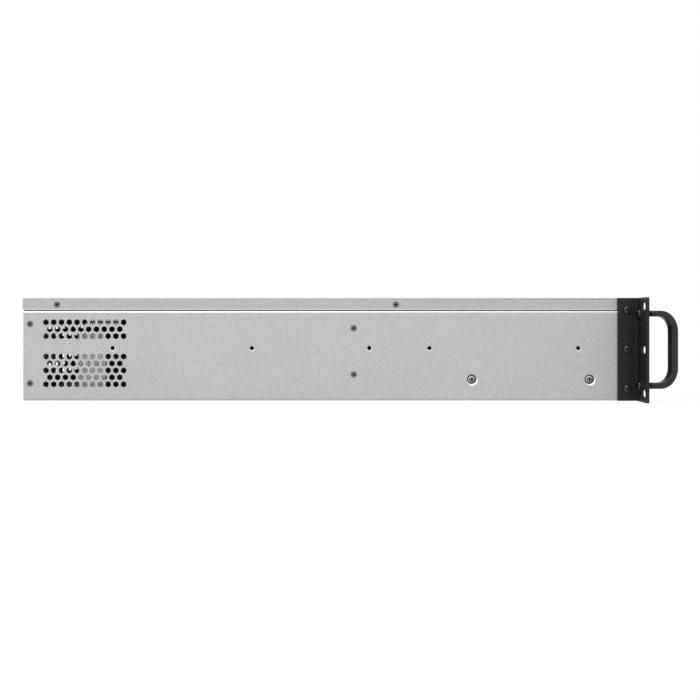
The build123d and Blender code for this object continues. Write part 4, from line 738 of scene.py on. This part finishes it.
# plain screws, tree, length, sizes that differ from the standard screw
SCREW_KINDS = {
    "flush_screws": ("zinc_screws", zinc_screw_tree, 3.6 * MM, {
        "Seat Radius": 1.45 * MM, "Top Radius": 2.55 * MM, "Dome": 1.0, "Height": 1.3 * MM,
        "Recess Reach": 1.9 * MM, "Recess Width": 0.9 * MM, "Recess Depth": 1.1 * MM}),
    "dimple_screws": ("zinc_screws", zinc_screw_tree, 3.2 * MM, {
        "Height": 1.2 * MM, "Top Radius": 1.75 * MM, "Recess Width": 0.7 * MM}),
    "board_screws": ("zinc_screws", zinc_screw_tree, 6.6 * MM, {}),
    "ear_screws": ("black_screws", black_screw_tree, 6.1 * MM, LARGE_SCREW),
    "handle_screws": ("black_screws", black_screw_tree, 11.2 * MM, LARGE_SCREW),
}
LENGTH_MATCH = 0.2 * MM

for name, (node, tree, length, changes) in SCREW_KINDS.items():
    found = [screw_spot(low, high) for low, high in loose_boxes(node)]
    spots = [spot for spot, reach in found if abs(reach - length) < LENGTH_MATCH]
    sizes = {**SCREW, **changes}
    sizes["Shank Length"] = length - sizes["Height"]
    screws = grow(name, spots, tree, sizes, "chassis")
    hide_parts(node)
    print(name, len(spots), "screws")

# %% [markdown]
# ## Bar handles
# Each handle is a flat bar with rounded edges, bent into a loop. The bends are a little longer than deep, and
# the bar is thicker along the grip than at its legs. The loop follows a formula: one leg, a quarter of an
# ellipse, the grip, and the same again mirrored. The section is set on every point of that line, square to
# it, and the rings are joined by faces.

# %% Swept bar
def rounded_section(width, thickness, radius, steps=4):
    """Outline of the bar's section, anticlockwise, as (across, through) pairs."""
    corners = ((1, 1, 0), (-1, 1, 90), (-1, -1, 180), (1, -1, 270))
    outline = []
    for right, up, start in corners:
        for step in range(steps + 1):
            angle = math.radians(start + 90 * step / steps)
            across = right * (width / 2 - radius) + radius * math.cos(angle)
            outline.append((across, up * (thickness / 2 - radius) + radius * math.sin(angle)))
    return outline


def handle_line(span, reach, bend_out, bend_up, steps=12):
    """(forward, up) points of the bar's middle line, from the lower leg to the upper one."""
    lower = [(0.0, -span / 2)]
    for step in range(steps + 1):
        angle = math.radians(90 * step / steps)
        forward = reach - bend_out * (1 - math.sin(angle))
        lower.append((forward, -span / 2 + bend_up * (1 - math.cos(angle))))
    return lower + [(forward, -up) for forward, up in reversed(lower)]


print("bar helpers ready")

# %% Bend and place the handles
BAR_WIDTH = 9.4 * MM
BAR_EDGE = 1.4 * MM
LEG_THICKNESS = 5.0 * MM
GRIP_THICKNESS = 6.2 * MM
BEND_OUT = 12.0 * MM
BEND_UP = 15.0 * MM
REACH_ROOM = 0.5 * MM

for name in ("handle_left", "handle_right"):
    low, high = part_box(name)
    middle = (low + high) / 2
    reach = high.y - low.y - REACH_ROOM - GRIP_THICKNESS / 2
    line = handle_line(high.z - low.z - LEG_THICKNESS, reach, BEND_OUT, BEND_UP)
    bar = bmesh.new()
    rings = []
    for number, (forward, up) in enumerate(line):
        before = line[max(number - 1, 0)]
        after = line[min(number + 1, len(line) - 1)]
        along = Vector((after[0] - before[0], after[1] - before[1])).normalized()
        thickness = LEG_THICKNESS + (GRIP_THICKNESS - LEG_THICKNESS) * abs(along.y)
        ring = []
        for across, through in rounded_section(BAR_WIDTH, thickness, BAR_EDGE):
            y = high.y - forward + through * along.y
            z = middle.z + up + through * along.x
            ring.append(bar.verts.new((middle.x + across, y, z)))
        rings.append(ring)
    for first, second in zip(rings, rings[1:]):
        for side in range(len(first)):
            after = (side + 1) % len(first)
            bar.faces.new((first[side], first[after], second[after], second[side]))
    bar.faces.new(rings[0])
    bar.faces.new(rings[-1])
    bmesh.ops.recalc_face_normals(bar, faces=bar.faces)
    for face in bar.faces:
        face.smooth = len(face.verts) == 4
    mesh = bpy.data.meshes.new(name + "_bar")
    bar.to_mesh(mesh)
    bar.free()
    mesh.materials.append(handle_black)
    piece = bpy.data.objects.new(name + "_bar", mesh)
    bpy.context.scene.collection.objects.link(piece)
    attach(piece, "chassis")
    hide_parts(name)
    print(name, "faces", len(mesh.polygons))

# %% [markdown]
# ## Rear sockets
# The frame gives the nickel shells of the rear sockets as open boxes. Each holds moulded inserts, which are
# built from two kinds of small trees. The first cuts bars out of a block, as a mould's cores do. The second
# sets equal bars in a row, which gives contacts and tongues. The shell's width and height tell which socket
# it is: wide ones are D-shaped, tall ones hold two flat sockets, and the rest are network jacks. Seen from
# the rear, a part's X runs to the right, its Y up, and its Z comes out of the socket.

# %% Trees for socket inserts
def millimetres(*values):
    """Vector input in metres from lengths in millimetres."""
    return tuple(value * MM for value in values)


def cut_block_tree(name, sizes, cuts, finish):
    """Block cut open by bars; each bar NAME has its size and its NAME Place as inputs."""
    tree, size = new_tree(name, sizes)
    parts = []
    for label in ("Body", *cuts):
        part = add_node(tree, "GeometryNodeMeshCube", {}, {"Size": size[label]})
        parts.append(add_node(tree, "GeometryNodeTransform", {}, {
            "Geometry": part, "Translation": size[label + " Place"]}))
    block = add_node(tree, "GeometryNodeMeshBoolean", {"operation": "DIFFERENCE"}, {
        "Mesh 1": parts[0], "Mesh 2": parts[1:]})
    end_tree(tree, size, block, finish)
    return tree


STILL = {"Turn": 0.0, "Seed": 1}
ROW = {"Count": 8, "Step": millimetres(1.02, 0, 0), "Bar": millimetres(0.4, 0.4, 6.8),
       "Bar Place": millimetres(0, -2.9, -5.0), "Tilt": 0.3, **STILL}


def row_tree(name, finish):
    """Equal bars in a row that is centred on the spot; Tilt leans each bar about X."""
    tree, size = new_tree(name, ROW)
    less = add_node(tree, "ShaderNodeMath", {"operation": "SUBTRACT"}, {0: size["Count"], 1: 1.0})
    half = add_node(tree, "ShaderNodeMath", {"operation": "MULTIPLY"}, {0: less, 1: -0.5})
    back = add_node(tree, "ShaderNodeVectorMath", {"operation": "SCALE"}, {0: size["Step"], "Scale": half})
    start = add_node(tree, "ShaderNodeVectorMath", {"operation": "ADD"}, {0: back, 1: size["Bar Place"]})
    row = add_node(tree, "GeometryNodeMeshLine", {}, {
        "Count": size["Count"], "Start Location": start, "Offset": size["Step"]})
    lean = add_node(tree, "ShaderNodeCombineXYZ", {}, {"X": size["Tilt"]})
    bar = add_node(tree, "GeometryNodeMeshCube", {}, {"Size": size["Bar"]})
    bars = add_node(tree, "GeometryNodeInstanceOnPoints", {}, {
        "Points": row, "Instance": bar, "Rotation": lean})
    end_tree(tree, size, bars, finish)
    return tree


contact_row = row_tree("contact_row", contact_gold)
tongue_row = row_tree("tongue_row", socket_plastic)
print("row of", ROW["Count"], "contacts at", ROW["Step"][0] / MM, "mm")

# %% Sort the shells
SHELL_WIDE = 25 * MM
SHELL_TALL = 15 * MM
OUT_OF_REAR = Vector((0, 1, 0))
RIGHT_FROM_REAR = Vector((-1, 0, 0))


def rear_spot(middle, right=0.0, up=0.0, out=0.0):
    """Spot at the rear, moved in the viewer's right, up and out directions."""
    place = middle + right * RIGHT_FROM_REAR + Vector((0, out, up))
    return place, OUT_OF_REAR, RIGHT_FROM_REAR


wide_shells, tall_shells, jack_shells = [], [], []
for low, high in loose_boxes("rear_ports"):
    face = Vector(((low.x + high.x) / 2, high.y, (low.z + high.z) / 2))
    if high.x - low.x > SHELL_WIDE:
        wide_shells.append(face)
    elif high.z - low.z > SHELL_TALL:
        tall_shells.append(face)
    else:
        jack_shells.append(face)
print("wide", len(wide_shells), "tall", len(tall_shells), "jacks", len(jack_shells))

# %% Network jacks
JACK = {"Body": millimetres(13.6, 11.0, 10.4), "Body Place": millimetres(0, 0, -5.6),
        "Mouth": millimetres(11.8, 6.8, 18.0), "Mouth Place": millimetres(0, -0.9, 0),
        "Notch": millimetres(6.2, 2.6, 17.0), "Notch Place": millimetres(0, 3.0, 0),
        "Clip": millimetres(3.2, 1.4, 16.0), "Clip Place": millimetres(0, 4.4, 0), **STILL}

jack_tree = cut_block_tree("network_jack", JACK, ("Mouth", "Notch", "Clip"), socket_plastic)
spots = [rear_spot(face) for face in jack_shells]
grow("network_jacks", spots, jack_tree, JACK, "chassis")
grow("network_contacts", spots, contact_row, ROW, "chassis")

# %% Flat sockets, two in each tall shell
FLAT_RISE = 3.6 * MM
FLAT = {"Body": millimetres(12.0, 13.4, 10.4), "Body Place": millimetres(0, 0, -5.6),
        "Upper": millimetres(11.4, 5.4, 18.0), "Upper Place": (0.0, FLAT_RISE, 0.0),
        "Lower": millimetres(11.4, 5.4, 17.4), "Lower Place": (0.0, -FLAT_RISE, 0.0), **STILL}
TONGUE = {**ROW, "Count": 1, "Bar": millimetres(10.4, 1.8, 8.0), "Bar Place": millimetres(0, 0.6, -5.0),
          "Tilt": 0.0}
STRIPS = {**ROW, "Count": 4, "Step": millimetres(2.4, 0, 0), "Bar": millimetres(1.1, 0.16, 6.2),
          "Bar Place": millimetres(0, -0.3, -4.6), "Tilt": 0.0}

flat_tree = cut_block_tree("flat_socket_frame", FLAT, ("Upper", "Lower"), shell_nickel)
frames = [rear_spot(face) for face in tall_shells]
halves = [rear_spot(face, up=rise) for face in tall_shells for rise in (-FLAT_RISE, FLAT_RISE)]
grow("flat_socket_frames", frames, flat_tree, FLAT, "chassis")
grow("flat_socket_tongues", halves, tongue_row, TONGUE, "chassis")
grow("flat_socket_strips", halves, contact_row, STRIPS, "chassis")

# %% [markdown]
# ## D-shaped sockets
# The video and serial sockets share one form: a D-shaped shroud on a flat plate, with a hexagonal jack at
# each side. The D is a trapezoid curve with rounded corners, so its outline can be swept into the shroud and
# also filled and raised into the moulded core. The video socket has such a core with three rows of holes,
# and the serial one carries two rows of pins in an open well.

# %% Trees for D-shaped sockets
CORNER_STEPS = 5
DRILL_SIDES = 10
DRILL_DEPTH = 1.6
HOLE_COLUMNS = 5
HOLE_ROWS = 3
D_SHAPE = {"D Height": 8.2 * MM, "D Low Width": 14.6 * MM, "D High Width": 17.0 * MM, "D Corner": 1.6 * MM,
           "Rise": 4.6 * MM, "Base": -4.8 * MM, "Wall": 0.5 * MM, **STILL}


def d_outline(tree, size):
    """Closed curve in the shape of a D, with rounded corners."""
    line = add_node(tree, "GeometryNodeCurvePrimitiveQuadrilateral", {"mode": "TRAPEZOID"}, {
        "Height": size["D Height"], "Bottom Width": size["D Low Width"], "Top Width": size["D High Width"],
        "Offset": 0.0})
    return add_node(tree, "GeometryNodeFilletCurve", {"mode": "POLY"}, {
        "Curve": line, "Count": CORNER_STEPS, "Radius": size["D Corner"]})


def shroud_tree(finish):
    """Thin upright wall along the D outline, standing on Base."""
    tree, size = new_tree("d_shroud", D_SHAPE)
    section = add_node(tree, "GeometryNodeCurvePrimitiveQuadrilateral", {}, {
        "Width": size["Wall"], "Height": size["Rise"]})
    wall = add_node(tree, "GeometryNodeCurveToMesh", {}, {
        "Curve": d_outline(tree, size), "Profile Curve": section})
    half = add_node(tree, "ShaderNodeMath", {"operation": "MULTIPLY"}, {0: size["Rise"], 1: 0.5})
    middle = add_node(tree, "ShaderNodeMath", {"operation": "ADD"}, {0: half, 1: size["Base"]})
    end_tree(tree, size, raised(tree, wall, middle), finish)
    return tree


CORE = {**D_SHAPE, "D Height": 7.0 * MM, "D Low Width": 13.4 * MM, "D High Width": 15.8 * MM,
        "Rise": 3.8 * MM, "Hole Radius": 0.6 * MM, "Hole Pitch": 2.3 * MM, "Row Pitch": 2.0 * MM}


def core_tree(finish):
    """Raised D with three rows of five holes."""
    tree, size = new_tree("d_core", CORE)
    face = add_node(tree, "GeometryNodeFillCurve", {"mode": "NGONS"}, {"Curve": d_outline(tree, size)})
    upward = add_node(tree, "ShaderNodeCombineXYZ", {}, {"Z": 1.0})
    solid = add_node(tree, "GeometryNodeExtrudeMesh", {}, {
        "Mesh": face, "Offset": upward, "Offset Scale": size["Rise"], "Individual": False})
    under = add_node(tree, "GeometryNodeFlipFaces", {}, {"Mesh": face})
    solid = add_node(tree, "GeometryNodeJoinGeometry", {}, {0: [solid, under]})
    solid = add_node(tree, "GeometryNodeMergeByDistance", {}, {"Geometry": solid, "Distance": MERGE})
    wide = add_node(tree, "ShaderNodeMath", {"operation": "MULTIPLY"}, {
        0: size["Hole Pitch"], 1: HOLE_COLUMNS - 1.0})
    high = add_node(tree, "ShaderNodeMath", {"operation": "MULTIPLY"}, {
        0: size["Row Pitch"], 1: HOLE_ROWS - 1.0})
    grid = add_node(tree, "GeometryNodeMeshGrid", {}, {
        "Size X": wide, "Size Y": high, "Vertices X": HOLE_COLUMNS, "Vertices Y": HOLE_ROWS})
    deep = add_node(tree, "ShaderNodeMath", {"operation": "MULTIPLY"}, {0: size["Rise"], 1: DRILL_DEPTH})
    drill = add_node(tree, "GeometryNodeMeshCylinder", {}, {
        "Vertices": DRILL_SIDES, "Radius": size["Hole Radius"], "Depth": deep})
    drills = add_node(tree, "GeometryNodeInstanceOnPoints", {}, {
        "Points": grid, "Instance": raised(tree, drill, size["Rise"])})
    drills = add_node(tree, "GeometryNodeRealizeInstances", {}, {0: drills})
    bored = add_node(tree, "GeometryNodeMeshBoolean", {"operation": "DIFFERENCE"}, {
        "Mesh 1": solid, "Mesh 2": drills})
    end_tree(tree, size, raised(tree, bored, size["Base"]), finish)
    return tree


print("D outline", D_SHAPE["D High Width"] / MM, "x", D_SHAPE["D Height"] / MM, "mm")

# %% Hexagonal jacks and pins
BORE_SIDES = 16
HEX = {"Hex Radius": 2.7 * MM, "Bore Radius": 1.3 * MM, "Hex Height": 4.4 * MM, "Base": -4.8 * MM, **STILL}


def hex_tree(finish):
    """Six-sided post with a bore from its top, standing on Base."""
    tree, size = new_tree("hexagonal_jack", HEX)
    post = add_node(tree, "GeometryNodeMeshCylinder", {}, {
        "Vertices": 6, "Radius": size["Hex Radius"], "Depth": size["Hex Height"]})
    drill = add_node(tree, "GeometryNodeMeshCylinder", {}, {
        "Vertices": BORE_SIDES, "Radius": size["Bore Radius"], "Depth": size["Hex Height"]})
    half = add_node(tree, "ShaderNodeMath", {"operation": "MULTIPLY"}, {0: size["Hex Height"], 1: 0.5})
    bored = add_node(tree, "GeometryNodeMeshBoolean", {"operation": "DIFFERENCE"}, {
        "Mesh 1": post, "Mesh 2": raised(tree, drill, half)})
    middle = add_node(tree, "ShaderNodeMath", {"operation": "ADD"}, {0: half, 1: size["Base"]})
    end_tree(tree, size, raised(tree, bored, middle), finish)
    return tree


PIN = {"Seat Radius": 0.5 * MM, "Top Radius": 0.2 * MM, "Dome": 6.0, "Height": 3.6 * MM, **STILL}


def turned_tree(name, sizes, finish):
    tree, size = new_tree(name, sizes)
    end_tree(tree, size, turned_shape(tree, size), finish)
    return tree


print("pins", PIN["Seat Radius"] / MM, "mm radius")

# %% Place the D-shaped sockets
PLATE = {"Body": millimetres(28.4, 9.9, 1.6), "Body Place": millimetres(0, 0, -5.6),
         "Well": millimetres(12.0, 5.4, 2.0), "Well Place": millimetres(0, 0, -4.9), **STILL}
JACK_SPREAD = 12.4 * MM
PIN_PITCH = 2.77 * MM
PIN_ROWS = ((5, 1.4 * MM), (4, -1.4 * MM))
PIN_TOP = -1.4 * MM

plate_tree = cut_block_tree("d_plate", PLATE, ("Well",), shell_nickel)
wide_spots = [rear_spot(face) for face in wide_shells]
jack_spots = [rear_spot(face, right=side * JACK_SPREAD) for face in wide_shells for side in (-1, 1)]
grow("d_plates", wide_spots, plate_tree, PLATE, "chassis")
grow("d_shrouds", wide_spots, shroud_tree(shell_nickel), D_SHAPE, "chassis")
grow("hexagonal_jacks", jack_spots, hex_tree(shell_nickel), HEX, "chassis")

serial_face, video_face = sorted(wide_shells, key=lambda face: face.x)
video_core = grow("video_core", [rear_spot(video_face)], core_tree(video_plastic), CORE, "chassis")
pin_spots = [rear_spot(serial_face, right=(number - (count - 1) / 2) * PIN_PITCH, up=rise, out=PIN_TOP)
             for count, rise in PIN_ROWS for number in range(count)]
grow("serial_pins", pin_spots, turned_tree("pin", PIN, contact_gold), PIN, "chassis")

# %% [markdown]
# ## Lights of the trays
# Every tray has two small domed lenses at the upper right of its front, above the end of its lever. Each pair
# is a piece of its own that rides on its tray, so it slides out with it.

# %% Tray lights
LENS = {"Seat Radius": 1.1 * MM, "Top Radius": 0.3 * MM, "Dome": 2.4, "Height": 1.0 * MM, **STILL}
LENS_FROM_RIGHT = (3.2 * MM, 6.7 * MM)
LENS_RISE = 18.1 * MM
LENS_PROUD = 0.5 * MM

lens_tree = turned_tree("domed_lens", LENS, light_plastic)
for name in sorted(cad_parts):
    if name.startswith("drive_tray"):
        low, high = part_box(name)
        spots = []
        for inset in LENS_FROM_RIGHT:
            place = Vector((high.x - inset, low.y - LENS_PROUD, low.z + LENS_RISE))
            spots.append((place, -OUT_OF_REAR, -RIGHT_FROM_REAR))
        number = name.split("_")[-1]
        lenses = grow("tray_lights_" + number, spots, lens_tree, LENS, "tray_" + number)
